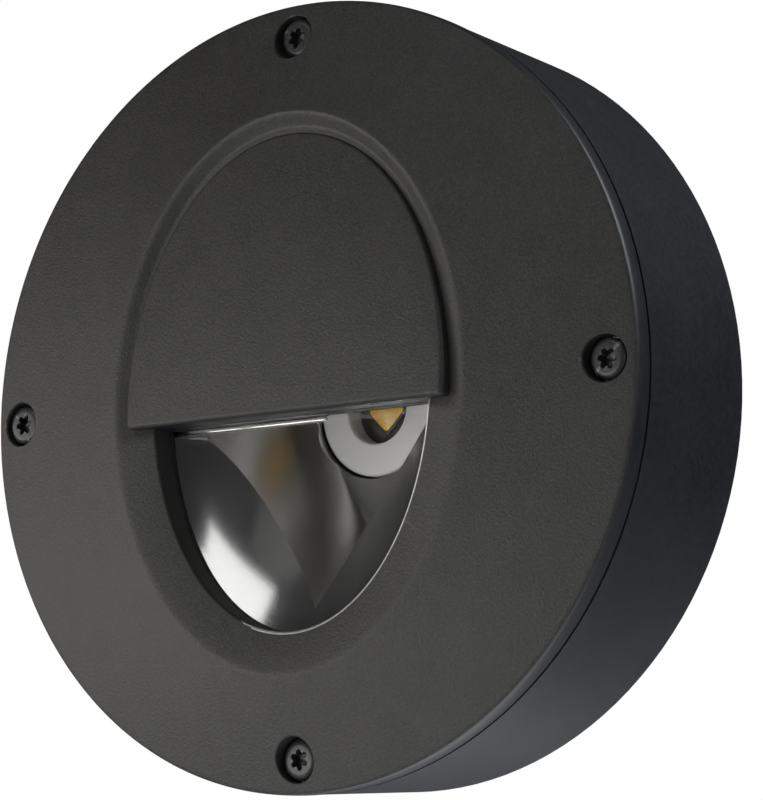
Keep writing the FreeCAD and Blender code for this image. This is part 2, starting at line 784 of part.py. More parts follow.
def trough(body, wall, cut=False):
    """The trough between a triangle at the mouth and one round the lamp, grown by a wall outside."""
    front = s.lip_height - s.reflector_wall * 1.5 + wall
    mouth = [(s.trough_half_width + wall, front), (-s.trough_half_width - wall, front),
             (NOTHING, s.trough_foot_height - wall)]
    back_level = s.reflector_back if wall.value else s.reflector_back + s.reflector_wall
    back = [(s.trough_back_half_width + wall * 2, s.trough_back_top + wall),
            (-s.trough_back_half_width - wall * 2, s.trough_back_top + wall),
            (NOTHING, s.trough_back_foot - wall * 2)]
    mouth_level = reflector_front - s.dish_rim_depth if wall.value else reflector_front
    return loft(body, [polygon(new_sketch(body, mouth_level), mouth), polygon(new_sketch(body, back_level), back)], cut)


def make_screws(label, places, seat, length, shank_radius, head_radius, head_height):
    """A group of equal hexagon screws whose heads sit at one level and point away from the wall."""
    body = new_body(label)
    heads = new_sketch(body, seat)
    shanks = new_sketch(body, seat - length)
    for across, height in places:
        hexagon(heads, head_radius, across, height)
        circle(shanks, shank_radius, across, height)
    pad(body, heads, head_height)
    pad(body, shanks, length)


# ---------------------------------------------------------------- lamp

def make_lamp():
    """The light source on its heat path: pad, board, package, emitter and white holder."""
    pad_body = new_body("thermal_pad")
    pad(pad_body, circle(new_sketch(pad_body, s.pedestal_level), s.pad_radius), s.pad_thickness)

    board = new_body("led_board")
    sketch = circle(new_sketch(board, board_back), s.board_radius)
    for across, height in holder_screw_places:
        circle(sketch, s.holder_screw_radius + s.running_gap, across, height)
    pad(board, sketch, s.board_thickness)

    base = new_body("led_base")
    diamond(base, board_front, s.lamp_base_side, s.lamp_base_thickness)
    emitter = new_body("led_emitter")
    diamond(emitter, base_front, s.emitter_side, s.emitter_thickness)

    holder = new_body("led_holder")
    turned(holder, [
        (s.holder_bore_radius, board_front),
        (s.holder_radius, board_front),
        (s.holder_radius, holder_front - s.holder_rounding),
        (s.holder_radius - s.holder_rounding, holder_front),
        (s.holder_bore_radius, holder_front),
    ])
    head_seat = holder_front - s.holder_screw_head_height
    sinks = new_sketch(holder, holder_front)
    holes = new_sketch(holder, holder_front)
    for across, height in holder_screw_places:
        circle(sinks, s.holder_screw_head_radius + s.seal_side_gap, across, height)
        circle(holes, s.holder_screw_radius + s.running_gap, across, height)
    pocket(holder, sinks, s.holder_screw_head_height)
    pocket(holder, holes, s.holder_height)
    slots = new_sketch(holder, board_front)
    for side in (s.lamp_lead_offset, -s.lamp_lead_offset):
        rectangle(slots, s.lamp_lead_slot_width, s.holder_radius - s.lamp_lead_end + s.overrun, side,
                  (s.holder_radius + s.lamp_lead_end + s.overrun) / 2)
    pocket(holder, slots, s.lamp_lead_slot_height, outwards=True)
    make_screws("holder_screws", holder_screw_places, head_seat, s.holder_screw_length, s.holder_screw_radius,
                s.holder_screw_head_radius, s.holder_screw_head_height)


def diamond(body, level, side, thickness):
    """A square plate that stands on its corner."""
    reach = side * math.sqrt(0.5)
    sketch = polygon(new_sketch(body, level), [(reach, 0), (0, reach), (-reach, 0), (0, -reach)])
    pad(body, sketch, thickness)


# ---------------------------------------------------------------- wiring side

def make_driver():
    """The potted driver in the upper half: case with two tabs, lid and screws."""
    case = new_body("driver_case")
    floor = s.floor_thickness
    pad(case, rectangle(new_sketch(case, floor), s.driver_width, s.driver_depth, s.driver_across, s.driver_height),
        s.driver_rise)
    round_edges(case, lambda edge: edge.BoundBox.YLength > s.driver_rise.value - 1e-3, s.driver_rounding)
    tabs = new_sketch(case, floor)
    for across, height in driver_tab_places:
        rectangle(tabs, s.driver_tab_length + s.overrun, s.driver_tab_width, across, height)
    pad(case, tabs, s.driver_tab_thickness)
    drill(case, driver_tab_places, floor + s.driver_tab_thickness, s.small_screw_radius, s.driver_tab_thickness)

    lid = new_body("driver_lid")
    lid_level = floor + s.driver_rise
    pad(lid, rectangle(new_sketch(lid, lid_level), s.driver_width - s.driver_lid_margin * 2,
                       s.driver_depth - s.driver_lid_margin * 2, s.driver_across, s.driver_height),
        s.driver_lid_thickness)
    round_edges(lid, lambda edge: edge.BoundBox.YLength > s.driver_lid_thickness.value - 1e-3, s.driver_rounding / 2)


def make_terminal_block():
    """A three-way screw terminal block with its screws."""
    block = new_body("terminal_block")
    floor = s.floor_thickness
    length = s.terminal_pitch * 3
    pad(block, rectangle(new_sketch(block, floor), s.terminal_width, length, s.terminal_across, s.terminal_height),
        s.terminal_rise - s.terminal_shoulder)
    towers = new_sketch(block, floor + s.terminal_rise - s.terminal_shoulder)
    screws = new_body("terminal_screws")
    heads = new_sketch(screws, floor + s.terminal_rise - s.terminal_shoulder)
    wells = new_sketch(block, floor + s.terminal_rise)
    for way in (-1, 0, 1):
        height = s.terminal_height + s.terminal_pitch * way
        rectangle(towers, s.terminal_tower_width, s.terminal_pitch - s.terminal_tower_gap, s.terminal_across, height)
        circle(wells, s.terminal_screw_radius + s.running_gap, s.terminal_across, height)
        circle(heads, s.terminal_screw_radius, s.terminal_across, height)
    pad(block, towers, s.terminal_shoulder)
    pocket(block, wells, s.terminal_shoulder)
    pad(screws, heads, s.terminal_screw_height)
    bores = new_sketch(block, s.terminal_across - s.terminal_width / 2, plane="YZ_Plane")
    for way in (-1, 0, 1):
        circle(bores, s.terminal_bore_radius, -terminal_wire_level, s.terminal_height + s.terminal_pitch * way)
    pocket(block, bores, s.terminal_bore_depth, outwards=True)


def make_cable_clamp():
    """The bar that grips the supply cable, arched over it between two posts."""
    body = new_body("cable_clamp")
    pad(body, rectangle(new_sketch(body, s.clamp_post_level), s.clamp_length, s.clamp_width, s.clamp_across,
                        s.clamp_height), s.clamp_thickness)
    drill(body, clamp_places, s.clamp_post_level + s.clamp_thickness, s.small_screw_radius, s.clamp_thickness)
    saddle = new_sketch(body, s.clamp_height + s.clamp_width / 2, plane="XY_Plane")
    circle(saddle, s.clamp_saddle_radius, s.clamp_across, s.clamp_saddle_drop - s.clamp_post_level)
    pocket(body, saddle, s.clamp_width)


def make_earth_point():
    """The earth tag under its screw."""
    tag = new_body("earth_tag")
    sketch = circle(new_sketch(tag, earth_boss_level), s.earth_tag_radius, s.earth_across, s.earth_height)
    circle(sketch, s.small_screw_radius + s.running_gap, s.earth_across, s.earth_height)
    pad(tag, sketch, s.earth_tag_thickness)


def make_leads():
    """The short inner leads: supply to driver, driver to lamp, and earth."""
    block_left = s.terminal_across - s.terminal_width / 2
    block_right = s.terminal_across + s.terminal_width / 2
    driver_left = s.driver_across - s.driver_width / 2
    for label, way in (("lead_live", 1), ("lead_neutral", 0)):
        lead_across(label, block_right, driver_left, terminal_wire_level, s.terminal_height + s.terminal_pitch * way)
    tag_edge = s.earth_across + s.earth_tag_radius
    lead_across("lead_earth", tag_edge, block_left + s.terminal_bore_depth, terminal_wire_level, s.earth_height)
    driver_low = s.driver_height - s.driver_depth / 2
    for label, side in (("lead_lamp_plus", 1), ("lead_lamp_minus", -1)):
        body = new_body(label)
        sketch = new_sketch(body, s.lamp_lead_end, plane="XY_Plane")
        circle(sketch, s.lead_radius, s.lamp_lead_offset * side, -(board_front + s.lead_radius))
        pad(body, sketch, driver_low - s.lamp_lead_end)


def lead_across(label, start, end, level, height):
    """One straight lead that runs along X."""
    body = new_body(label)
    pad(body, circle(new_sketch(body, start, plane="YZ_Plane"), s.lead_radius, -level, height), end - start)


def small_screws(label, places, seat, length=s.small_screw_length):
    make_screws(label, places, seat, length, s.small_screw_radius, s.small_screw_head_radius,
                s.small_screw_head_height)


def make_fasteners():
    small_screws("reflector_screws", ear_places, s.ear_level + s.ear_thickness)
    small_screws("driver_screws", driver_tab_places, s.floor_thickness + s.driver_tab_thickness,
                 s.driver_screw_length)
    small_screws("clamp_screws", clamp_places, s.clamp_post_level + s.clamp_thickness)
    small_screws("earth_screw", [(s.earth_across, s.earth_height)], earth_boss_level + s.earth_tag_thickness)


# ---------------------------------------------------------------- build and write

def check_document():
    """Stop if any object failed or any sub-part has no valid shape."""
    for item in doc.Objects:
        if "Invalid" in item.State or "Error" in item.State:
            raise RuntimeError("%s failed: %s" % (item.Name, item.State))
    for item in subparts:
        if item.Shape.isNull() or not item.Shape.isValid() or not item.Shape.Solids:
            raise RuntimeError("%s has no valid shape" % item.Label)


def write_parts():
    os.makedirs("parts", exist_ok=True)
    for item in subparts:
        item.Shape.exportStep("parts/%s.step" % item.Label)
        box = item.Shape.BoundBox
        print("%-20s %2d solids %9.1f mm3  X %.1f..%.1f  level %.1f..%.1f  Z %.1f..%.1f" % (
            item.Label, len(item.Shape.Solids), item.Shape.Volume, box.XMin, box.XMax, -box.YMax, -box.YMin,
            box.ZMin, box.ZMax))


make_housing()
make_wall_gasket()
make_cover_gasket()
make_cable_grommet()
make_cover()
make_cover_screws()
make_screw_washers()
make_lens_gasket()
make_lens_glass()
make_lens_frame()
make_lens_frame_screws()
make_reflector()
make_lamp()
make_driver()
make_terminal_block()
make_cable_clamp()
make_earth_point()
make_leads()
make_fasteners()
doc.recompute()
check_document()
write_parts()
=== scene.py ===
# %% [markdown]
# A step light is a small round lamp that is screwed to a wall beside a stair. Most of it is one
# black powder-coated casting, so the picture lives from soft light on a dark grainy skin, and from
# one bright spot: the polished bowl under the eyelid hood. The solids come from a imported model.
# Here they are loaded as a fixed frame, and finer skins are laid where the eye needs them.

# %% Load the fixed frame
import json
import math

import bmesh
import bpy
import numpy as np
from mathutils import Matrix, Quaternion, Vector

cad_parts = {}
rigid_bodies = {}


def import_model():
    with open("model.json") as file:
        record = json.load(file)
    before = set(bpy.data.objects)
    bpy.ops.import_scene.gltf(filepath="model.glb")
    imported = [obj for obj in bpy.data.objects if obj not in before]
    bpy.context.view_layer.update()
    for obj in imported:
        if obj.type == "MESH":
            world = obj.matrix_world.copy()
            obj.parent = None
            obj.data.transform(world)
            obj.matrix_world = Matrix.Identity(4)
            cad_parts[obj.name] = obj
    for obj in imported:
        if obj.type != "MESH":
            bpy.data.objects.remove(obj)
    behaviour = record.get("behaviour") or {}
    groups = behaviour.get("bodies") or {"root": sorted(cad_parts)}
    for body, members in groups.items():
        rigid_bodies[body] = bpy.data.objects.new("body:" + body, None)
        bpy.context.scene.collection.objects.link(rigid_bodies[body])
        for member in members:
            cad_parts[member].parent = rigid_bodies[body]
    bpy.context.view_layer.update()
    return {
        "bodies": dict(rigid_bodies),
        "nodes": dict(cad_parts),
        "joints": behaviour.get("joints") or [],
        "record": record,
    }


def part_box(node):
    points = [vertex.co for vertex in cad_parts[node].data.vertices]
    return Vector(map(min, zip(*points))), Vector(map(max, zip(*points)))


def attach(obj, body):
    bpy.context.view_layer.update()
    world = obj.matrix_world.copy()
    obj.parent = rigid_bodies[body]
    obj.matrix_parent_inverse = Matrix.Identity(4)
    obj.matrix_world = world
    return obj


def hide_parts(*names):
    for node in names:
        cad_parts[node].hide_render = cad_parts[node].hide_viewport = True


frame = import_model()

nodes = frame["nodes"]

# %% [markdown]
# All sizes are in metres. A level is the distance out from the wall, so level 0.040 lies at
# Y = -0.040. The few sizes that the frame can tell are read from it, so those skins stay on their
# solids, and the rest are named here or beside the piece that they shape.

# %% Named sizes
MM = 0.001


def span(node):
    """The lowest level, the highest level and the half width of a node of the frame."""
    low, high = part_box(node)
    return -high.y, -low.y, (high.x - low.x) / 2


COVER_BACK, LIP_LEVEL, COVER_RADIUS = 35.8 * MM, 46.4 * MM, 77.5 * MM
RIM_LEVEL, CREST_LEVEL, RECESS_LEVEL = 40.0 * MM, 45.0 * MM, 43.5 * MM
HOUSING_FRONT_RADIUS = span("housing")[2]
CREST = (41.9 * MM, 54.7 * MM)
OPENING = (33.2 * MM, 46.4 * MM)
HOOD_FOOT = (39.4 * MM, 52.2 * MM)
HOOD_FOOT_LEVEL, HOOD_CROWN_LEVEL = 43.2 * MM, 43.35 * MM
LIP_HEIGHT = -4.5 * MM
COLLAR_LEVEL = span("lens_gasket")[1]
CAVITY_LEVEL = 40.4 * MM
print("rim radius", COVER_RADIUS, "collar level", round(COLLAR_LEVEL, 5))

# %% [markdown]
# The camera comes first. The photograph was taken from the right of the light and a little below
# it, with a long lens. It could be placed by eye, but the angles below are those at which the front
# and back rims of the light fall where they do in the picture, so edge can be compared with edge.

# %% Camera
AZIMUTH, ELEVATION = math.radians(37.254), math.radians(-8.468)
DISTANCE = 676.7 * MM
AIM_YAW, AIM_PITCH, AIM_ROLL = math.radians(-1.3722), math.radians(0.1103), math.radians(-0.1624)
FOCAL_PIXELS, PICTURE_HEIGHT = 3487.9, 800


def turned_pair(first, second, angle):
    """Two square axes turned in their own plane."""
    return (first * math.cos(angle) + second * math.sin(angle),
            second * math.cos(angle) - first * math.sin(angle))


def make_camera():
    back = Vector((math.sin(AZIMUTH) * math.cos(ELEVATION), -math.cos(AZIMUTH) * math.cos(ELEVATION),
                   math.sin(ELEVATION)))
    right = Vector((math.cos(AZIMUTH), math.sin(AZIMUTH), 0))
    up = back.cross(right)
    place = back * DISTANCE - Vector((0, RIM_LEVEL, 0))
    back, right = turned_pair(back, right, AIM_YAW)
    back, up = turned_pair(back, up, AIM_PITCH)
    right, up = turned_pair(right, up, AIM_ROLL)
    data = bpy.data.cameras.new("camera")
    data.sensor_width = 36.0
    data.lens = data.sensor_width * FOCAL_PIXELS / PICTURE_HEIGHT
    data.clip_start = 0.01
    camera = bpy.data.objects.new("camera", data)
    turn = Matrix((right, up, back)).transposed()
    camera.matrix_world = Matrix.Translation(place) @ turn.to_4x4()
    bpy.context.scene.collection.objects.link(camera)
    bpy.context.scene.camera = camera
    return camera


camera = make_camera()
print("camera at", tuple(round(c, 4) for c in camera.location), "lens", round(camera.data.lens, 2))

# %% [markdown]
# The light is a dim studio, because the real skin is almost black. The world alone would leave the
# low relief flat, so six soft boxes do the work. One on the left, level with the object, makes the
# left of the face bright and lets the upper right fall off. One high in front is what the bowl
# mirrors on its left cheek, and a small low one reaches the lamp under the hood. A weak one on the
# right lifts the faces that look that way, one above on the right draws the line along the housing,
# and the lowest lights its underside. The white behind the object is only what the camera sees.

# %% World
WORLD_STRENGTH = 0.03


def make_world():
    world = bpy.data.worlds.new("studio")
    bpy.context.scene.world = world
    world.use_nodes = True
    tree = world.node_tree
    tree.nodes.clear()
    out = tree.nodes.new("ShaderNodeOutputWorld")
    path = tree.nodes.new("ShaderNodeLightPath")
    seen = tree.nodes.new("ShaderNodeBackground")
    seen.inputs["Color"].default_value = (1, 1, 1, 1)
    seen.inputs["Strength"].default_value = 1.0
    lit = tree.nodes.new("ShaderNodeBackground")
    lit.inputs["Color"].default_value = (0.96, 0.98, 1.0, 1)
    lit.inputs["Strength"].default_value = WORLD_STRENGTH
    mix = tree.nodes.new("ShaderNodeMixShader")
    tree.links.new(path.outputs["Is Camera Ray"], mix.inputs["Fac"])
    tree.links.new(lit.outputs[0], mix.inputs[1])
    tree.links.new(seen.outputs[0], mix.inputs[2])
    tree.links.new(mix.outputs[0], out.inputs["Surface"])
    return world


print("world", make_world().name, "at strength", WORLD_STRENGTH)

# %% Lamps


def soft_lamp(name, place, aim, size, power, colour=(1, 1, 1), roll=0):
    """A rectangular soft box that faces a point, rolled by degrees."""
    data = bpy.data.lights.new(name, "AREA")
    data.shape = "RECTANGLE"
    data.size, data.size_y = size
    data.energy = power
    data.color = colour
    lamp = bpy.data.objects.new(name, data)
    lamp.location = place
    lamp.rotation_mode = "QUATERNION"
    facing = (Vector(aim) - Vector(place)).to_track_quat("-Z", "Y")
    lamp.rotation_quaternion = facing @ Quaternion((0, 0, 1), math.radians(roll))
    bpy.context.scene.collection.objects.link(lamp)
    return lamp


soft_lamp("key_left", (-0.50, -0.365, -0.03), (0, -0.04, 0), (0.28, 0.28), 0.98, (1.0, 0.98, 0.95))
soft_lamp("box_high_front", (-0.083, -0.71, 0.56), (0, -0.04, -0.03), (0.45, 0.32), 0.84, roll=-16)
soft_lamp("fill_low_front", (-0.27, -0.60, -0.13), (0, -0.03, -0.02), (0.32, 0.2), 1.15, (1.0, 0.99, 0.97))
soft_lamp("fill_beside_camera", (0.62, -0.50, 0.07), (0, -0.04, 0), (0.3, 0.3), 0.32, (1.0, 1.0, 1.0))
soft_lamp("rim_right", (0.60, 0.12, 0.50), (0.06, -0.02, 0), (0.35, 0.4), 3.8, (0.92, 0.96, 1.0))
soft_lamp("bounce_low", (0.05, 0.02, -0.30), (0.02, -0.02, 0), (0.4, 0.3), 0.7, (0.94, 0.97, 1.0))
print("lamps", len(bpy.data.lights))

# %% [markdown]
# Every form below is a skin over rings of points. A ring lies around the light, a corner between
# rings is softened by a short curve, and the skin joins each ring to the next. Ready-made shapes
# with bevels could make the round pieces, but not a crest that changes from a circle to an oval.
# Rings do both, and they give an even mesh that shades smoothly.

# %% Rings
TURNS = 288


def ring(half_width, half_height, level, count=TURNS):
    """Points round an upright ellipse at one level, anticlockwise from the right."""
    turn = np.arange(count) * 2 * math.pi / count
    return np.stack([half_width * np.cos(turn), np.full(count, -level), half_height * np.sin(turn)], 1)


def round_ring(radius, level, count=TURNS):
    return ring(radius, radius, level, count)


def softened(section, steps=4):
    """Rings from (ring, reach) pairs: one that has a reach becomes a short curve to its neighbours."""
    made = []
    for i, (middle, reach) in enumerate(section):
        if not reach:
            made.append(middle)
            continue
        sides = []
        for other, _ in (section[i - 1], section[(i + 1) % len(section)]):
            way = other - middle
            length = np.linalg.norm(way, axis=1, keepdims=True)
            sides.append(middle + way / np.maximum(length, 1e-9) * np.minimum(reach, length * 0.49))
        for step in range(steps + 1):
            t = step / steps
            made.append(sides[0] * (1 - t) ** 2 + middle * 2 * t * (1 - t) + sides[1] * t ** 2)
    return made


print("a ring of the cover has", TURNS, "points")

# %% Skins


def skin(name, rings, closed_loop=False, cap_first=False, cap_last=False):
    """A mesh object through rings of equal count."""
    count = len(rings[0])
    verts = [tuple(p) for r in rings for p in r]
    faces = []
    rows = len(rings)
    for i in range(rows if closed_loop else rows - 1):
        a, b = i * count, ((i + 1) % rows) * count
        for j in range(count):
            k = (j + 1) % count
            faces.append((a + j, a + k, b + k, b + j))
    if cap_first:
        faces.append(tuple(range(count))[::-1])
    if cap_last:
        faces.append(tuple(range((rows - 1) * count, rows * count)))
    mesh = bpy.data.meshes.new(name)
    mesh.from_pydata(verts, [], faces)
    return finish_mesh(name, mesh)


def finish_mesh(name, mesh):
    """Link a mesh as an object, clean it and turn its faces outwards."""
    work = bmesh.new()
    work.from_mesh(mesh)
    bmesh.ops.remove_doubles(work, verts=work.verts, dist=1e-7)
    bmesh.ops.recalc_face_normals(work, faces=work.faces)
    work.to_mesh(mesh)
    work.free()
    piece = bpy.data.objects.new(name, mesh)
    bpy.context.scene.collection.objects.link(piece)
    return piece


def shade(piece, angle=30.0):
    """Smooth shading, with sharp edges kept where faces meet at more than an angle."""
    mesh = piece.data
    work = bmesh.new()
    work.from_mesh(mesh)
    limit = math.radians(angle)
    for face in work.faces:
        face.smooth = True
    for edge in work.edges:
        edge.smooth = len(edge.link_faces) == 2 and edge.calc_face_angle(0.0) < limit
    work.to_mesh(mesh)
    work.free()
    return piece


print("made skin, finish_mesh and shade")

# %% Carving and moving


def carved(piece, cutters, way="DIFFERENCE"):
    """Cut, join or keep the common part with other meshes, and drop the cutters."""
    for cutter in cutters:
        change = piece.modifiers.new("carve", "BOOLEAN")
        change.operation = way
        change.solver = "EXACT"
        change.object = cutter
    graph = bpy.context.evaluated_depsgraph_get()
    graph.update()
    mesh = bpy.data.meshes.new_from_object(piece.evaluated_get(graph))
    piece.modifiers.clear()
    piece.data = mesh
    for cutter in cutters:
        bpy.data.objects.remove(cutter)
    return piece


def moved(points, across=0.0, height=0.0):
    """Rings shifted sideways, for a turned piece that stands off the centre line."""
    return [r + np.array([across, 0.0, height]) for r in points]


print("made carved and moved")

# %% [markdown]
# Paint, steel and glass are small node networks. The three effects that several finishes share are
# node groups, built once: a fine grain, as powder coat and cast metal have, worn or polished edges
# found from how sharply the surface bends, and dust that settles on what faces up. Pictures could
# give the same, but nodes have no seams, and one number sets their scale in metres.

# %% Node helpers


def new_group(name, inputs, outputs):
    """An empty node group with float inputs and named outputs."""
    group = bpy.data.node_groups.new(name, "ShaderNodeTree")
    for label, value in inputs:
        socket = group.interface.new_socket(label, in_out="INPUT", socket_type="NodeSocketFloat")
        socket.default_value = value
    for label, kind in outputs:
        group.interface.new_socket(label, in_out="OUTPUT", socket_type=kind)
    return group, group.nodes.new("NodeGroupInput"), group.nodes.new("NodeGroupOutput")


def add(tree, kind, **settings):
    """A node with its settings and its unlinked input values."""
    node = tree.nodes.new(kind)
    for key, value in settings.items():
        if key in node.inputs:
            node.inputs[key].default_value = value
        else:
            setattr(node, key, value)
    return node


def object_points(tree):
    """Points on the piece in metres, which stay with it from every side."""
    return tree.nodes.new("ShaderNodeTexCoord").outputs["Object"]


print("made new_group, add and object_points")

# %% Fine grain


def grain_group():
    """Fine grain: a height, a fine speckle and a slow mottle."""
    group, given, out = new_group("fine_grain", [("Scale", 1500.0), ("Mottle Scale", 60.0)],
                                  [("Height", "NodeSocketFloat"), ("Speckle", "NodeSocketFloat"),
                                   ("Mottle", "NodeSocketFloat")])
    points = object_points(group)
    fine = add(group, "ShaderNodeTexNoise", Detail=3.0, Roughness=0.65)
    slow = add(group, "ShaderNodeTexNoise", Detail=2.0, Roughness=0.5)
    pits = add(group, "ShaderNodeTexVoronoi", feature="SMOOTH_F1")
    for texture, label in ((fine, "Scale"), (slow, "Mottle Scale"), (pits, "Scale")):
        group.links.new(points, texture.inputs["Vector"])
        group.links.new(given.outputs[label], texture.inputs["Scale"])
    both = add(group, "ShaderNodeMath", operation="ADD")
    group.links.new(fine.outputs["Fac"], both.inputs[0])
    group.links.new(pits.outputs["Distance"], both.inputs[1])
    group.links.new(both.outputs[0], out.inputs["Height"])
    group.links.new(fine.outputs["Fac"], out.inputs["Speckle"])
    group.links.new(slow.outputs["Fac"], out.inputs["Mottle"])
    return group


GRAIN = grain_group()
print("effect group", GRAIN.name)

# %% Edge wear


def edge_group():
    """Edge wear: 1 on sharp outer edges, 0 elsewhere, broken up by noise."""
    group, given, out = new_group("edge_wear", [("Start", 0.54), ("End", 0.62), ("Break Up", 0.06)],
                                  [("Mask", "NodeSocketFloat")])
    shape = group.nodes.new("ShaderNodeNewGeometry")
    noise = add(group, "ShaderNodeTexNoise", Scale=420.0, Detail=2.0)
    group.links.new(object_points(group), noise.inputs["Vector"])
    shift = add(group, "ShaderNodeMath", operation="MULTIPLY_ADD")
    group.links.new(noise.outputs["Fac"], shift.inputs[0])
    group.links.new(given.outputs["Break Up"], shift.inputs[1])
    group.links.new(shape.outputs["Pointiness"], shift.inputs[2])
    band = add(group, "ShaderNodeMapRange", interpolation_type="SMOOTHSTEP")
    group.links.new(shift.outputs[0], band.inputs["Value"])
    group.links.new(given.outputs["Start"], band.inputs["From Min"])
    group.links.new(given.outputs["End"], band.inputs["From Max"])
    group.links.new(band.outputs["Result"], out.inputs["Mask"])
    return group


EDGES = edge_group()
print("effect group", EDGES.name)

# %% Settled dust


def dust_group():
    """Thin dust: more of it where the surface looks up."""
    group, given, out = new_group("settled_dust", [("Amount", 0.1)], [("Mask", "NodeSocketFloat")])
    shape = group.nodes.new("ShaderNodeNewGeometry")
    parts = group.nodes.new("ShaderNodeSeparateXYZ")
    group.links.new(shape.outputs["Normal"], parts.inputs[0])
    noise = add(group, "ShaderNodeTexNoise", Scale=260.0, Detail=4.0)
    group.links.new(object_points(group), noise.inputs["Vector"])
    up = add(group, "ShaderNodeMapRange")
    up.inputs["From Min"].default_value = -0.2
    group.links.new(parts.outputs["Z"], up.inputs["Value"])
    spots = add(group, "ShaderNodeMath", operation="MULTIPLY")
    group.links.new(up.outputs["Result"], spots.inputs[0])
    group.links.new(noise.outputs["Fac"], spots.inputs[1])
    amount = add(group, "ShaderNodeMath", operation="MULTIPLY")
    group.links.new(spots.outputs[0], amount.inputs[0])
    group.links.new(given.outputs["Amount"], amount.inputs[1])
    group.links.new(amount.outputs[0], out.inputs["Mask"])
    return group


DUST = dust_group()
print("effect group", DUST.name)

# %% [markdown]
# One function builds a painted, moulded or metal finish from those effects: the colour wanders a
# little with mottle and speckle, the roughness with the speckle, and the height feeds a bump. Each
# finish could have a network of its own, but then a change to the grain would be made ten times.

# %% Finish builder


def placed(tree, group, **values):
    """One effect group put into a material, with its own values."""
    node = tree.nodes.new("ShaderNodeGroup")
    node.node_tree = group
    for label, value in values.items():
        node.inputs[label.replace("_", " ")].default_value = value
    return node


def blend_colour(tree, factor, first, second):
    """Mix two colours by a mask. Each may be a colour or a socket."""
    mix = add(tree, "ShaderNodeMix", data_type="RGBA")
    tree.links.new(factor, mix.inputs["Factor"])
    for label, colour in (("A", first), ("B", second)):
        socket = [i for i in mix.inputs if i.name == label and i.type == "RGBA"][0]
        if isinstance(colour, tuple):
            socket.default_value = (*colour, 1.0)
        else:
            tree.links.new(colour, socket)
    return [o for o in mix.outputs if o.type == "RGBA"][0]


def finish_material(name, dark, light, rough, grain, mottle, bump, metal=0.0, wear=None,
                    wear_colour=(0.5, 0.5, 0.5), dust=0.0, coat=0.0, speckle=0.55):
    """A grained finish between two colours, with a roughness range and a bump height in mm."""
    material = bpy.data.materials.new(name)
    material.use_nodes = True
    tree = material.node_tree
    shader = tree.nodes["Principled BSDF"]
    shader.inputs["Metallic"].default_value = metal
    shader.inputs["Coat Weight"].default_value = coat
    shader.inputs["Coat Roughness"].default_value = 0.25
    texture = placed(tree, GRAIN, Scale=grain, Mottle_Scale=mottle)
    both = add(tree, "ShaderNodeMix", data_type="FLOAT")
    both.inputs["Factor"].default_value = speckle
    tree.links.new(texture.outputs["Mottle"], both.inputs["A"])
    tree.links.new(texture.outputs["Speckle"], both.inputs["B"])
    spread = add(tree, "ShaderNodeMapRange")
    spread.inputs["From Min"].default_value = 0.35
    spread.inputs["From Max"].default_value = 0.65
    tree.links.new(both.outputs["Result"], spread.inputs["Value"])
    colour = blend_colour(tree, spread.outputs["Result"], dark, light)
    if wear:
        edge = placed(tree, EDGES, Start=wear[0], End=wear[1])
        colour = blend_colour(tree, edge.outputs["Mask"], colour, wear_colour)
    if dust:
        film = placed(tree, DUST, Amount=dust)
        colour = blend_colour(tree, film.outputs["Mask"], colour, (0.42, 0.40, 0.37))
    tree.links.new(colour, shader.inputs["Base Color"])
    polish = add(tree, "ShaderNodeMapRange")
    polish.inputs["To Min"].default_value, polish.inputs["To Max"].default_value = rough
    tree.links.new(texture.outputs["Speckle"], polish.inputs["Value"])
    tree.links.new(polish.outputs["Result"], shader.inputs["Roughness"])
    relief = add(tree, "ShaderNodeBump")
    relief.inputs["Strength"].default_value = 1.0
    relief.inputs["Distance"].default_value = bump * MM
    tree.links.new(texture.outputs["Height"], relief.inputs["Height"])
    tree.links.new(relief.outputs["Normal"], shader.inputs["Normal"])
    return material


print("made placed, blend_colour and finish_material")

# %% Finishes of casting, seals, plastic and metal
COATED = finish_material("textured_black_coat", (0.011, 0.0107, 0.0102), (0.041, 0.0396, 0.038),
                         (0.42, 0.62), grain=2500, mottle=130, bump=0.045, wear=(0.60, 0.75),
                         wear_colour=(0.08, 0.08, 0.08), dust=0.03, speckle=0.85)
# Bright metal for the painted highlight on the opening's front edge; it also reflects the lamps.
EDGE_HIGHLIGHT_METAL = finish_material("painted_edge_highlight_metal", (0.66, 0.65, 0.62), (0.84, 0.83, 0.80), (0.38, 0.58),
                            grain=1900, mottle=260, bump=0.01, metal=1.0)
CAST = finish_material("smooth_black_coat", (0.010, 0.011, 0.0135), (0.018, 0.020, 0.024),
                       (0.36, 0.50), grain=900, mottle=60, bump=0.012, wear=(0.60, 0.75),
                       wear_colour=(0.05, 0.05, 0.055), dust=0.03)
SCREW_BLACK = finish_material("black_screw_finish", (0.030, 0.030, 0.031), (0.065, 0.064, 0.064),
                              (0.28, 0.48), grain=2600, mottle=300, bump=0.01, metal=0.35,
                              wear=(0.56, 0.66), wear_colour=(0.16, 0.16, 0.16))
RUBBER = finish_material("seal_rubber", (0.010, 0.010, 0.010), (0.022, 0.022, 0.022), (0.55, 0.75),
                         grain=1200, mottle=90, bump=0.015)
FOAM = finish_material("foam_seal", (0.012, 0.012, 0.012), (0.035, 0.035, 0.035), (0.85, 0.98),
                       grain=1900, mottle=200, bump=0.12)
WHITE_PLASTIC = finish_material("white_moulding", (0.74, 0.74, 0.74), (0.80, 0.80, 0.80), (0.30, 0.42),
                                grain=2200, mottle=110, bump=0.004)
ZINC = finish_material("zinc_screw_finish", (0.46, 0.47, 0.49), (0.66, 0.66, 0.68), (0.22, 0.42),
                       grain=2400, mottle=300, bump=0.008, metal=1.0)
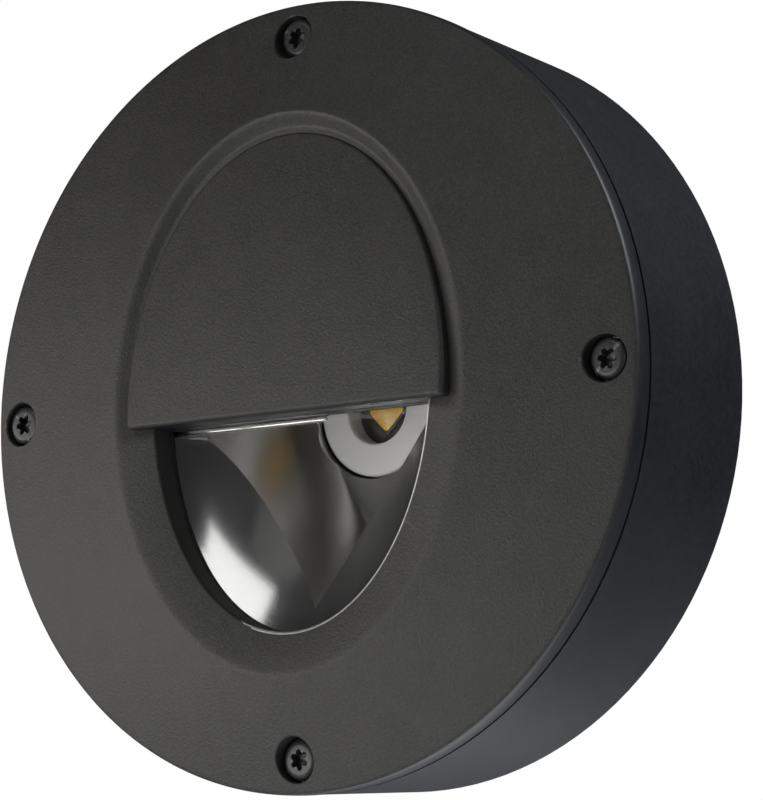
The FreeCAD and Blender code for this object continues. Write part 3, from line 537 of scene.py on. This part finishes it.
SHEET_STEEL = finish_material("pressed_steel", (0.40, 0.41, 0.42), (0.55, 0.55, 0.57), (0.28, 0.45),
                              grain=1800, mottle=120, bump=0.01, metal=1.0)
BRASS = finish_material("brass_finish", (0.55, 0.40, 0.18), (0.74, 0.57, 0.30), (0.22, 0.40),
                        grain=2200, mottle=240, bump=0.006, metal=1.0)
print("finishes", len(bpy.data.materials))

# %% [markdown]
# The bright bowl is polished aluminium, so it has almost no colour of its own. One clear mirror
# would be simpler, but its reflections would look computed, so a slow ripple in the bump bends
# them. The trough's two walls get a hazier version, because they show the lamp only as a warm blur.
# The glass is plain, and lets the lamps light what lies behind it.

# %% Bright finishes


def bright_material(name, clearest, haziest):
    """Polished metal whose roughness wanders between two values."""
    material = bpy.data.materials.new(name)
    material.use_nodes = True
    tree = material.node_tree
    shader = tree.nodes["Principled BSDF"]
    shader.inputs["Metallic"].default_value = 1.0
    texture = placed(tree, GRAIN, Scale=700.0, Mottle_Scale=45.0)
    colour = blend_colour(tree, texture.outputs["Mottle"], (0.80, 0.795, 0.785), (0.90, 0.895, 0.88))
    tree.links.new(colour, shader.inputs["Base Color"])
    haze = add(tree, "ShaderNodeMapRange")
    haze.inputs["To Min"].default_value, haze.inputs["To Max"].default_value = clearest, haziest
    tree.links.new(texture.outputs["Mottle"], haze.inputs["Value"])
    tree.links.new(haze.outputs["Result"], shader.inputs["Roughness"])
    relief = add(tree, "ShaderNodeBump")
    relief.inputs["Strength"].default_value = 0.3
    relief.inputs["Distance"].default_value = 0.02 * MM
    tree.links.new(texture.outputs["Mottle"], relief.inputs["Height"])
    tree.links.new(relief.outputs["Normal"], shader.inputs["Normal"])
    return material


BRIGHT = bright_material("bright_reflector_finish", 0.10, 0.17)
BRIGHT_HAZY = bright_material("hazy_reflector_finish", 0.22, 0.28)
print("bright finishes", BRIGHT.name, BRIGHT_HAZY.name)

# %% Glass and phosphor


def glass_material():
    """Clear toughened glass. Shadow rays pass it, so lamps reach what is behind."""
    material = bpy.data.materials.new("clear_pane")
    material.use_nodes = True
    tree = material.node_tree
    shader = tree.nodes["Principled BSDF"]
    shader.inputs["Transmission Weight"].default_value = 1.0
    shader.inputs["IOR"].default_value = 1.46
    smear = placed(tree, GRAIN, Scale=500.0, Mottle_Scale=35.0)
    polish = add(tree, "ShaderNodeMapRange")
    polish.inputs["From Min"].default_value, polish.inputs["From Max"].default_value = 0.45, 0.75
    polish.inputs["To Min"].default_value, polish.inputs["To Max"].default_value = 0.0, 0.03
    tree.links.new(smear.outputs["Mottle"], polish.inputs["Value"])
    tree.links.new(polish.outputs["Result"], shader.inputs["Roughness"])
    out = tree.nodes["Material Output"]
    path = tree.nodes.new("ShaderNodeLightPath")
    clear = tree.nodes.new("ShaderNodeBsdfTransparent")
    mix = tree.nodes.new("ShaderNodeMixShader")
    tree.links.new(path.outputs["Is Shadow Ray"], mix.inputs["Fac"])
    tree.links.new(shader.outputs[0], mix.inputs[1])
    tree.links.new(clear.outputs[0], mix.inputs[2])
    tree.links.new(mix.outputs[0], out.inputs["Surface"])
    return material


CLEAR = glass_material()
PHOSPHOR = finish_material("phosphor_yellow", (0.90, 0.47, 0.03), (1.0, 0.62, 0.06), (0.28, 0.45),
                           grain=3000, mottle=500, bump=0.006, coat=0.6)
print("clear and yellow finishes", CLEAR.name, PHOSPHOR.name)

# %% [markdown]
# The cover is the face of the light. Its section runs from the rim up a gentle cone to a soft oval
# crest, down into a sunk ring, and over a small radius into the light opening. The cone changes
# from a circle to an oval on its way, so it can't be turned. A subdivided cage could follow it too,
# but a morph between rings keeps every radius at its size.

# %% Crest and sunk ring


def smooth_step(value, low, high):
    t = np.clip((value - low) / (high - low), 0, 1)
    return t * t * (3 - 2 * t)


def foot_ring():
    """The inner foot of the crest: deepest at the hood's crown, shallow beside the opening."""
    made = ring(*HOOD_FOOT, 0)
    gentle = CREST_LEVEL - (CREST_LEVEL - RECESS_LEVEL) * (CREST[0] - HOOD_FOOT[0]) / (CREST[0] - OPENING[0])
    share = smooth_step(made[:, 2], LIP_HEIGHT - 2.2 * MM, LIP_HEIGHT + 0.4 * MM)
    beside = HOOD_FOOT_LEVEL + 0.9 * MM * (1 - smooth_step(made[:, 2], 5 * MM, 50 * MM))
    made[:, 1] = -(gentle + (beside - gentle) * share)
    return made


print("crest half width", CREST[0], "foot half width", HOOD_FOOT[0])

# %% Cover shell


def make_cover_shell():
    opening_front = ring(*OPENING, RECESS_LEVEL)
    share = smooth_step(opening_front[:, 2], LIP_HEIGHT - 1 * MM, LIP_HEIGHT + 1 * MM)
    opening_front[:, 1] += share * (RECESS_LEVEL - HOOD_FOOT_LEVEL + 0.3 * MM)
    collar = (OPENING[0] + 3 * MM, OPENING[1] + 3 * MM)
    rim = round_ring(COVER_RADIUS, RIM_LEVEL + 0.1 * MM)
    crest = ring(*CREST, CREST_LEVEL)
    section = [
        (round_ring(60 * MM, COVER_BACK), 0),
        (round_ring(HOUSING_FRONT_RADIUS, COVER_BACK), 0.15 * MM),
        (round_ring(COVER_RADIUS, COVER_BACK + 1.5 * MM), 0.6 * MM),
        (rim, 1.9 * MM),
        *[(rim * (1 - t) + crest * t, 0) for t in np.arange(1, 24) / 24],
        (crest, 1.2 * MM),
        (foot_ring(), 0.5 * MM),
        (opening_front, 0.6 * MM),
        (ring(*OPENING, COLLAR_LEVEL), 0.2 * MM),
        (ring(*collar, COLLAR_LEVEL), 0.2 * MM),
        (ring(*collar, CAVITY_LEVEL), 0.5 * MM),
        (ring(38.5 * MM, 51 * MM, CAVITY_LEVEL), 1.0 * MM),
    ]
    return skin("cover_shell", softened(section, steps=5), closed_loop=True)


cover_shell = make_cover_shell()
print("cover shell faces before carving", len(cover_shell.data.polygons))

# %% Counterbores
COUNTERBORE_SEAT = 36.7 * MM


def screw_centre(name):
    low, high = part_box("cover_screw_" + name)
    return (low.x + high.x) / 2, (low.z + high.z) / 2


def counterbore_cutter(across, height):
    """A stepped cutter whose small mouth bevel follows the slope of the cover."""
    crest = CREST[1] if abs(across) < 1 * MM else CREST[0]
    slope = (CREST_LEVEL - RIM_LEVEL) / (COVER_RADIUS - crest)
    mouth = RIM_LEVEL + 0.1 * MM + slope * (COVER_RADIUS - math.hypot(across, height))
    profile = [(2.3, COUNTERBORE_SEAT - 6 * MM, 0), (2.3, COUNTERBORE_SEAT, 0), (4.4, COUNTERBORE_SEAT, 0),
               (4.45, mouth - 0.25 * MM, 1), (4.8, mouth + 0.1 * MM, 1), (5.8, mouth + 1.6 * MM, 1)]
    rings = []
    for radius, level, follows in profile:
        made = round_ring(radius * MM, level, 64) + np.array([across, 0, height])
        inwards = math.hypot(across, height) - np.hypot(made[:, 0], made[:, 2])
        made[:, 1] -= follows * slope * inwards
        rings.append(made)
    return skin("cutter", rings, cap_first=True, cap_last=True)


SCREWS = {name: screw_centre(name) for name in ("top", "right", "bottom", "left")}
carved(cover_shell, [counterbore_cutter(*SCREWS[name]) for name in SCREWS])
shade(cover_shell, 32)
print("cover shell faces", len(cover_shell.data.polygons))

# %% [markdown]
# The face has the grainy coat and the rim's side the smooth one of the housing. Along the front
# edge of the opening, from the middle to the right, a bright metal band is a painted highlight, and
# being metal it also reflects the lamps. A mask in the nodes could do it, but the borders follow
# real edges, so each face simply gets its own finish.

# %% Cover finishes
HIGHLIGHT_WIDTH, HIGHLIGHT_FROM, HIGHLIGHT_FADE = 0.6 * MM, -13 * MM, 7 * MM


def cover_finish(x, y, z):
    """Which of the three finishes a face of the cover shell has, by its centre."""
    if math.hypot(x, z) > COVER_RADIUS - 0.3 * MM:
        return 2
    # Index 1 is the painted highlight band on the opening's front edge, narrowing to nothing on the left.
    off = math.hypot(x, z * OPENING[0] / OPENING[1]) - OPENING[0]
    reach = HIGHLIGHT_WIDTH * min(1.0, max(0.0, (x - HIGHLIGHT_FROM) / HIGHLIGHT_FADE))
    return int(z < LIP_HEIGHT and abs(off) < reach and -y > RECESS_LEVEL - reach)


def finish_with(piece, *materials):
    """Give a piece these finishes, in the order of their slots."""
    piece.data.materials.clear()
    for material in materials:
        piece.data.materials.append(material)


finish_with(cover_shell, COATED, EDGE_HIGHLIGHT_METAL, CAST)
for face in cover_shell.data.polygons:
    face.material_index = cover_finish(*face.center)
# Counts the faces of the painted highlight band.
print("bare faces", sum(face.material_index == 1 for face in cover_shell.data.polygons))

# %% [markdown]
# The hood is an eyelid: half an oval whose flat front leans out towards the lip and throws the
# light down. It is cast in one with the cover, so it starts inside the shell and shows only a thin
# groove round its foot. It could be carved from the shell, but a skin of half ovals leans more
# simply and keeps the lip crisp. Its rim has a small even radius, and its underside gets the darker
# smooth coat as painted shade under the lip.

# %% Eyelid hood
HOOD_CORNER = 1.0 * MM


def half_oval(half_width, half_height, low, level_of, count=200):
    """Points round the part of an oval above a level line, with two rounded corners, then along it."""
    corner = HOOD_CORNER
    start = math.asin((low + corner) / half_height)
    turn = np.linspace(start, math.pi - start, count)
    arc = np.stack([half_width * np.cos(turn), half_height * np.sin(turn)], 1)
    bend = np.linspace(0, math.pi / 2, 7)[1:]
    left = np.stack([arc[-1, 0] + corner * (1 - np.cos(bend)), arc[-1, 1] - corner * np.sin(bend)], 1)
    right = (left * [-1, 1])[::-1]
    line = np.linspace(left[-1], right[0], count // 2 + 2)[1:-1]
    flat = np.concatenate([arc, left, line, right])
    return np.stack([flat[:, 0], -level_of(flat[:, 1]), flat[:, 1]], 1)


def hood_front_level(height):
    """The level of the leaning front at a height."""
    run = HOOD_FOOT[1] - LIP_HEIGHT
    return LIP_LEVEL - (LIP_LEVEL - HOOD_CROWN_LEVEL) * (height - LIP_HEIGHT) / run


def make_hood():
    groove, draft, edge = 0.35 * MM, 0.7 * MM, 0.9 * MM
    wide, tall = HOOD_FOOT[0] - groove, HOOD_FOOT[1] - groove
    rings = [half_oval(wide, tall, LIP_HEIGHT, lambda z: np.full_like(z, CAVITY_LEVEL - 0.2 * MM))]
    for turn in np.linspace(0, math.pi / 2, 7):
        inset = draft + edge * (1 - math.cos(turn))
        drop = edge * (1 - math.sin(turn))
        rings.append(half_oval(wide - inset, tall - inset, LIP_HEIGHT + edge * (1 - math.cos(turn)),
                               lambda z, d=drop: hood_front_level(z) - d))
    return skin("eyelid_hood", rings, cap_first=True, cap_last=True)


eyelid_hood = shade(make_hood(), 32)
finish_with(eyelid_hood, COATED, CAST)
# Faces that look down get the darker smooth coat: painted shade under the lip.
for face in eyelid_hood.data.polygons:
    face.material_index = int(face.normal.z < -0.8)
print("hood faces", len(eyelid_hood.data.polygons))

# %% [markdown]
# Behind the lip a bar closes the top of the opening and carries the pane's gasket. Only its
# underside shows, as the dark ceiling under the lip, so a plain bar with soft edges is enough. It
# has the darker smooth coat, painted shade for that ceiling.

# %% Lens seat bar


def make_seat_bar():
    half, low, high = OPENING[0] + 3 * MM, LIP_HEIGHT, LIP_HEIGHT + 3 * MM
    flat = [(-half, low), (half, low), (half, high), (-half, high)]
    rings = [np.array([(x, -level, z) for x, z in flat])
             for level in (COLLAR_LEVEL, CAVITY_LEVEL + 1 * MM)]
    bar = skin("lens_seat_bar", rings, cap_first=True, cap_last=True)
    bevel = bar.modifiers.new("soft_edges", "BEVEL")
    bevel.width, bevel.segments = 0.2 * MM, 2
    return bar


seat_bar = shade(make_seat_bar(), 40)
# The darker smooth coat is painted shade for the ceiling under the lip.
finish_with(seat_bar, CAST)
for piece in (cover_shell, eyelid_hood, seat_bar):
    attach(piece, "cover")
    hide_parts("cover")
print("cover pieces", cover_shell.name, eyelid_hood.name, seat_bar.name)

# %% [markdown]
# A button-head screw is turned, and its drive is a six-lobed socket. The socket could be carved,
# but that leaves long thin faces round its mouth. The head here is a skin of rings again, and the
# inner rings follow the star instead of a circle.

# %% Cover screws
HEAD_RISE = 0.8 * MM
DRIVE_TURN = {"top": 0.30, "right": 0.95, "bottom": 0.62, "left": 0.12}


def star_ring(level, grow=1.0, count=96):
    """A six-lobed outline: round lobes with round hollows between them."""
    turn = np.arange(count) * 2 * math.pi / count
    wave = np.cos(6 * turn)
    radius = (1.72 + 0.33 * wave - 0.05 * np.cos(12 * turn)) * MM * grow
    return np.stack([radius * np.cos(turn), np.full(count, -level), radius * np.sin(turn)], 1)


def make_screw(name):
    low, high, _ = span("cover_screw_" + name)
    crown, seat = high + HEAD_RISE, high - 2.0 * MM
    profile = [(0.9, low), (1.7, low + 0.4 * MM), (2.0, low + 1.0 * MM), (2.0, seat), (3.9, seat),
               (4.0, seat + 0.12 * MM)]
    rings = [round_ring(radius * MM, level, 96) for radius, level in profile]
    for turn in np.linspace(0.25, math.pi / 2, 8):
        radius = (2.6 + 1.4 * math.cos(turn)) * MM
        rings.append(round_ring(radius, crown - 1.15 * MM + 1.15 * MM * math.sin(turn), 96))
    rings.append(star_ring(crown, 1.06))
    rings.append(star_ring(crown - 0.12 * MM, 1.0))
    rings.append(star_ring(crown - 2.0 * MM, 0.97))
    rings.append(round_ring(0.9 * MM, crown - 2.1 * MM, 96))
    rings.append(round_ring(0.15 * MM, crown - 2.4 * MM, 96))
    turn_by = DRIVE_TURN[name]
    across, height = SCREWS[name]
    spun = []
    for r in rings:
        x, z = r[:, 0].copy(), r[:, 2].copy()
        r[:, 0] = x * math.cos(turn_by) - z * math.sin(turn_by)
        r[:, 2] = x * math.sin(turn_by) + z * math.cos(turn_by)
        spun.append(r)
    screw = skin("button_screw_" + name, moved(spun, across, height), cap_first=True, cap_last=True)
    finish_with(shade(screw, 35), SCREW_BLACK)
    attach(screw, "screw_" + name)
    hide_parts("cover_screw_" + name)
    return screw


for name in SCREWS:
    make_screw(name)
print("screws at", {k: tuple(round(c, 4) for c in v) for k, v in SCREWS.items()})

# %% [markdown]
# The reflector is where the picture sparkles. It starts as a half oval bowl, a shallow dish is cut
# into its mouth, and a trough with a pointed foot is cut through to the lamp. A bent sheet with
# creases could follow it, but where two cutters meet, the fold from each upper corner down to the
# foot is sharp by itself, as in the photograph. The top edge steps clear of the lamp on the right,
# and is rolled to a thin bead on the left.

# %% Dish
REFLECTOR_BACK = span("reflector")[0]
PANE_FRONT = span("lens_glass")[1]
PANE_BACK = PANE_FRONT - 1.0 * MM
REFLECTOR_FRONT = PANE_BACK - 0.2 * MM
MOUTH = (34.9 * MM, 47.9 * MM)
DISH_DEPTH = 7.2 * MM


def lower_oval(half_width, half_height, top, level, count=240):
    """Points round the part of an oval below a level line, then back along that line."""
    start = math.asin(top / half_height)
    turn = np.linspace(math.pi - start, 2 * math.pi + start, count)
    arc = np.stack([half_width * np.cos(turn), half_height * np.sin(turn)], 1)
    line = np.linspace(arc[-1], arc[0], count // 2 + 2)[1:-1]
    flat = np.concatenate([arc, line])
    return np.stack([flat[:, 0], np.full(len(flat), -level), flat[:, 1]], 1)


def dish_cutter(mouth, top):
    """A shallow bowl, steep at its rim and flat inside, open at the front."""
    rings = [lower_oval(*mouth, top, REFLECTOR_FRONT + 1 * MM)]
    for share in np.linspace(1.0, 0.25, 26):
        rings.append(lower_oval(mouth[0] * share, mouth[1] * share, top,
                                REFLECTOR_FRONT - DISH_DEPTH * (1 - share ** 3)))
    return skin("dish_cutter", rings, cap_first=True, cap_last=True)


print("reflector from level", round(REFLECTOR_BACK, 5), "to", round(REFLECTOR_FRONT, 5))

# %% Trough
# Each end of the trough has a half width, a top, a foot and a level.
TROUGH_FRONT = (31.5 * MM, LIP_HEIGHT - 0.5 * MM, -43 * MM, REFLECTOR_FRONT)
TROUGH_BACK = (23 * MM, 13 * MM, -27 * MM, REFLECTOR_BACK + 1 * MM)


def three_cornered(half_width, top, foot, level, count=240):
    """Points round a triangle on its corner, in step with those of the lower oval."""
    left, right, low = np.array([-half_width, top]), np.array([half_width, top]), np.array([0.0, foot])
    sides = [np.linspace(left, low, count // 2), np.linspace(low, right, count // 2 + 1)[1:],
             np.linspace(right, left, count // 2 + 2)[1:-1]]
    flat = np.concatenate(sides)
    return np.stack([flat[:, 0], np.full(len(flat), -level), flat[:, 1]], 1)


def on_trough(x, y, z):
    """Whether a point lies on one of the trough's two slanting walls."""
    t = (REFLECTOR_FRONT + y) / (REFLECTOR_FRONT - TROUGH_BACK[3])
    half, top, foot = (a + (b - a) * t for a, b in zip(TROUGH_FRONT[:3], TROUGH_BACK[:3]))
    return abs(abs(x) - half * (z - foot) / (top - foot)) < 0.03 * MM


def trough_cutter():
    """A three-cornered funnel from the mouth down to a floor behind the lamp's ring."""
    front, back = three_cornered(*TROUGH_FRONT), three_cornered(*TROUGH_BACK)
    rings = [front * (1 - t) + back * t for t in np.linspace(-0.05, 1.0, 12)]
    return skin("trough_cutter", rings, cap_first=True, cap_last=True)


print("trough foot from", TROUGH_FRONT[2], "to", TROUGH_BACK[2])

# %% Lamp hole and step
LAMP_HOLE_RADIUS = 14.2 * MM
STEP_START, STEP_END, STEP_DROP, STEP_DEPTH = 4.5 * MM, 31.0 * MM, 1.7 * MM, 6 * MM


def hole_cutter():
    rings = [round_ring(LAMP_HOLE_RADIUS, REFLECTOR_BACK + level * MM, 160) for level in (-1, 8)]
    return skin("hole_cutter", rings, cap_first=True, cap_last=True)


def step_cutter():
    """A step in the bowl's top edge, so that the edge stays clear of the lamp."""
    flat = [(STEP_START, -STEP_DROP), (STEP_END, -STEP_DROP), (STEP_END, 1 * MM), (STEP_START, 1 * MM)]
    rings = [np.array([(x, -level, LIP_HEIGHT + z) for x, z in flat])
             for level in (REFLECTOR_FRONT - STEP_DEPTH, REFLECTOR_FRONT + 1 * MM)]
    return skin("step_cutter", rings, cap_first=True, cap_last=True)


print("lamp hole radius", LAMP_HOLE_RADIUS)

# %% Bowl


def make_reflector():
    wall = 1.0 * MM
    front = lower_oval(*MOUTH, LIP_HEIGHT, REFLECTOR_FRONT)
    back = three_cornered(24.4 * MM, 14 * MM, -28.8 * MM, REFLECTOR_BACK)
    outer = [front * (1 - t) + back * t for t in np.linspace(0, 1, 6)]
    bowl = skin("bright_bowl", outer, cap_first=True, cap_last=True)
    mouth = (MOUTH[0] - wall, MOUTH[1] - wall)
    top = LIP_HEIGHT - wall
    return carved(bowl, [dish_cutter(mouth, top), trough_cutter(), hole_cutter(), step_cutter()])


bright_bowl = shade(make_reflector(), 18)
finish_with(bright_bowl, BRIGHT, BRIGHT_HAZY)
for face in bright_bowl.data.polygons:
    face.material_index = int(on_trough(*face.center))
print("reflector faces", len(bright_bowl.data.polygons))

# %% Ears and bead


def make_ears():
    """The two screw ears that carry the bowl on its posts."""
    made = []
    for side in (-1, 1):
        flat = []
        for turn in np.linspace(-math.pi / 2, math.pi / 2, 25):
            flat.append((side * (38 + 4 * math.cos(turn)) * MM, (-4 + 4 * math.sin(turn)) * MM))
        flat += [(side * 19 * MM, 0.0), (side * 19 * MM, -8 * MM)]
        rings = [np.array([(x, -level, z) for x, z in flat]) for level in (18 * MM, 20 * MM)]
        name = "bowl_ear_left" if side < 0 else "bowl_ear_right"
        made.append(skin(name, rings, cap_first=True, cap_last=True))
    return made


def make_bead():
    """The rolled top edge of the bowl: a thin rod with round ends."""
    first, last, radius, count = -31.6 * MM, STEP_START, 0.45 * MM, 24
    turn = np.arange(count) * 2 * math.pi / count
    rings = []
    for x, grow in ((first, 0.2), (first + 0.1 * MM, 0.7), (first + 0.4 * MM, 1.0),
                    (last - 0.4 * MM, 1.0), (last - 0.1 * MM, 0.7), (last, 0.2)):
        out = -REFLECTOR_FRONT + radius + radius * grow * np.cos(turn)
        up = LIP_HEIGHT - 0.55 * MM + radius * grow * np.sin(turn)
        rings.append(np.stack([np.full(count, x), out, up], 1))
    return skin("bowl_top_bead", rings, cap_first=True, cap_last=True)


bead_and_ears = [shade(make_bead(), 60)] + [shade(ear, 30) for ear in make_ears()]
for piece in bead_and_ears:
    finish_with(piece, BRIGHT)
for piece in [bright_bowl] + bead_and_ears:
    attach(piece, "housing")
    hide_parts("reflector")
print("bright pieces", 1 + len(bead_and_ears))

# %% [markdown]
# The pane is a thin flat plate of toughened glass, and a retaining frame holds it from behind. One
# flat face would look the same from the front, but glass needs both faces to bend light as it does.
# The frame stands round the mouth of the bowl with a small gap, so the cover lifts off straight.

# %% Pane


def make_pane():
    half_width, half_height, top = 35.9 * MM, 49.1 * MM, -0.6 * MM
    edge = 0.15 * MM
    section = [(edge, PANE_BACK), (0, PANE_BACK + edge), (0, PANE_FRONT - edge), (edge, PANE_FRONT)]
    rings = [lower_oval(half_width - inset, half_height - inset, top - inset, level)
             for inset, level in section]
    return skin("thin_pane", rings, cap_first=True, cap_last=True)


pane = make_pane()
print("pane from level", round(PANE_BACK, 5), "to", round(PANE_FRONT, 5))

# %% Frame
FRAME_BACK = span("lens_frame")[0]
EARS = [(37.5, 3.2), (-37.5, 3.2), (33.5, -31.5), (-33.5, -31.5)]


def plate(name, ring_at, levels):
    """A flat plate between two levels, from a function that gives its outline at a level."""
    return skin(name, [ring_at(level) for level in levels], cap_first=True, cap_last=True)


def make_frame():
    thick, through = (FRAME_BACK, PANE_BACK), (FRAME_BACK - 1 * MM, PANE_BACK + 1 * MM)
    frame = plate("retaining_frame", lambda level: lower_oval(39.2 * MM, 52.4 * MM, 3 * MM, level), thick)
    places = [np.array([across * MM, 0.0, height * MM]) for across, height in EARS]
    for place in places:
        carved(frame, [plate("ear", lambda level: round_ring(4 * MM, level, 48) + place, thick)], "UNION")
    cutters = [plate("window", lambda level: lower_oval(35.2 * MM, 48.3 * MM, -2.4 * MM, level), through)]
    for place in places:
        cutters.append(plate("hole", lambda level: round_ring(1.35 * MM, level, 32) + place, through))
    return carved(frame, cutters)


frame_piece = make_frame()
for piece, node, material, slot in ((pane, "lens_glass", CLEAR, "clear_glass"),
                                    (frame_piece, "lens_frame", SHEET_STEEL, "frame_steel")):
    shade(piece, 30)
    finish_with(piece, material)
    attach(piece, "cover")
    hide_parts(node)
print("frame faces", len(frame_piece.data.polygons))

# %% [markdown]
# The lamp sits deep behind the bowl: a white moulded ring, a dark well inside it, and the yellow
# square that stands on its corner. Ready-made shapes with bevels would do from afar, but this is
# where the eye goes first, so the ring is turned with a soft outer edge and a thin inner lip.

# %% Lamp ring
BOARD_FRONT, HOLDER_FRONT, HOLDER_RADIUS = span("led_holder")


def make_holder():
    inner = 6.9 * MM
    section = [
        (round_ring(inner, BOARD_FRONT, 160), 0),
        (round_ring(HOLDER_RADIUS, BOARD_FRONT, 160), 0.1 * MM),
        (round_ring(HOLDER_RADIUS, HOLDER_FRONT, 160), 0.8 * MM),
        (round_ring(inner + 0.35 * MM, HOLDER_FRONT, 160), 0.3 * MM),
        (round_ring(inner, HOLDER_FRONT - 0.8 * MM, 160), 0.3 * MM),
    ]
    return skin("lamp_ring", softened(section), closed_loop=True)


lamp_ring = shade(make_holder(), 35)
finish_with(lamp_ring, WHITE_PLASTIC)
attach(lamp_ring, "housing")
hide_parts("led_holder")
print("lamp ring radius", round(HOLDER_RADIUS, 5))

# %% Lamp square
ROUNDNESS = 7.0


def cushion_square(name, reach, low, high, edge):
    """A thin square plate on its corner, with rounded corners and a soft front edge."""
    count = 96
    turn = np.arange(count) * 2 * math.pi / count
    power, tilted = ROUNDNESS, turn + math.pi / 4
    radius = 1 / (abs(np.cos(tilted)) ** power + abs(np.sin(tilted)) ** power) ** (1 / power)
    radius = radius / math.sqrt(2) * reach
    flat = np.stack([radius * np.cos(turn), radius * np.sin(turn)], 1)
    rings = []
    for grow, level in ((1.0, low), (1.0, high - edge), (1 - 0.3 * edge / reach, high - 0.3 * edge),
                        (1 - edge / reach, high)):
        rings.append(np.stack([flat[:, 0] * grow, np.full(count, -level), flat[:, 1] * grow], 1))
    return skin(name, rings, cap_first=True, cap_last=True)


LAMP_BASE = finish_material("lamp_base_finish", (0.030, 0.028, 0.024), (0.075, 0.070, 0.060), (0.30, 0.50),
                            grain=2500, mottle=300, bump=0.01)
low, high, reach = span("led_base")
lamp_base = shade(cushion_square("lamp_base_plate", reach, low, high, 0.1 * MM), 35)
finish_with(lamp_base, LAMP_BASE)
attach(lamp_base, "housing")
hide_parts("led_base")
low, high, reach = span("led_emitter")
emitter = shade(cushion_square("lamp_yellow_square", reach, low, high, 0.12 * MM), 35)
finish_with(emitter, PHOSPHOR)
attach(emitter, "housing")
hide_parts("led_emitter")
print("yellow square reach", round(reach, 5))

# %% [markdown]
# The pieces whose solids are already right only need their finish. They could be modelled again,
# but most stay hidden until the cover lifts. Each one gets the finish of what it is made of:
# potting, brass, zinc, rubber, and the coloured insulation of the leads.

# %% Finishes for the carried-over pieces


def plastic(name, colour, rough=(0.38, 0.55)):
    """A moulded plastic whose colour wanders a little about its mean."""
    dark = tuple(c * 0.88 for c in colour)
    light = tuple(min(1.0, c * 1.08) for c in colour)
    return finish_material(name, dark, light, rough, grain=1800, mottle=140, bump=0.006)


BOARD_DARK = plastic("board_mask", (0.050, 0.047, 0.038), (0.30, 0.45))
finishes = {
    "housing": CAST, "wall_gasket": FOAM, "cover_gasket": RUBBER, "lens_gasket": RUBBER,
    "cable_grommet": RUBBER, "screw_washers": SHEET_STEEL, "lens_frame_screws": ZINC,
    "reflector_screws": ZINC, "holder_screws": ZINC, "driver_screws": ZINC, "clamp_screws": ZINC,
    "terminal_screws": BRASS, "earth_screw": BRASS, "earth_tag": BRASS, "led_board": BOARD_DARK,
    "thermal_pad": plastic("thermal_pad_finish", (0.42, 0.46, 0.52), (0.7, 0.85)),
    "driver_case": plastic("driver_case_finish", (0.62, 0.62, 0.58)),
    "driver_lid": plastic("potting_finish", (0.05, 0.05, 0.05), (0.25, 0.4)),
    "terminal_block": plastic("terminal_finish", (0.72, 0.69, 0.60)),
    "cable_clamp": plastic("clamp_finish", (0.04, 0.04, 0.04)),
    "lead_live": plastic("brown_insulation", (0.17, 0.07, 0.03)),
    "lead_neutral": plastic("blue_insulation", (0.03, 0.10, 0.42)),
    "lead_earth": plastic("green_insulation", (0.16, 0.40, 0.05)),
    "lead_lamp_plus": plastic("red_insulation", (0.50, 0.02, 0.02)),
    "lead_lamp_minus": plastic("dark_insulation", (0.02, 0.02, 0.02)),
}
for node, material in finishes.items():
    finish_with(nodes[node], material)
print("finished nodes", len(finishes))

# %% [markdown]
# The floor is plain and pale, well below the light, which hangs on its wall. It could be lit until
# it is white, but that light would fall on the object too. So only the camera sees it bright, and
# to everything else it is a pale sheet that throws a little light back up.

# %% Floor
FLOOR_LEVEL, FLOOR_GLOW = -0.36, 0.72


def make_floor():
    turn = np.arange(96) * 2 * math.pi / 96
    rings = [np.stack([r * np.cos(turn), r * np.sin(turn), np.full(96, FLOOR_LEVEL)], 1)
             for r in (0.05, 2.5)]
    floor = skin("studio_floor", rings, cap_first=True)
    material = bpy.data.materials.new("pale_floor")
    material.use_nodes = True
    tree = material.node_tree
    shader = tree.nodes["Principled BSDF"]
    noise = add(tree, "ShaderNodeTexNoise", Scale=6.0, Detail=2.0)
    tree.links.new(object_points(tree), noise.inputs["Vector"])
    tree.links.new(blend_colour(tree, noise.outputs["Fac"], (0.80, 0.80, 0.80), (0.84, 0.84, 0.84)),
                   shader.inputs["Base Color"])
    shader.inputs["Roughness"].default_value = 0.9
    shader.inputs["Emission Color"].default_value = (1.0, 1.0, 1.0, 1.0)
    glow = add(tree, "ShaderNodeMath", operation="MULTIPLY")
    glow.inputs[1].default_value = FLOOR_GLOW
    tree.links.new(tree.nodes.new("ShaderNodeLightPath").outputs["Is Camera Ray"], glow.inputs[0])
    tree.links.new(glow.outputs[0], shader.inputs["Emission Strength"])
    floor.data.materials.append(material)
    return floor


print("floor", make_floor().name, "at height", FLOOR_LEVEL)
bpy.context.scene.view_settings.view_transform = "Standard"
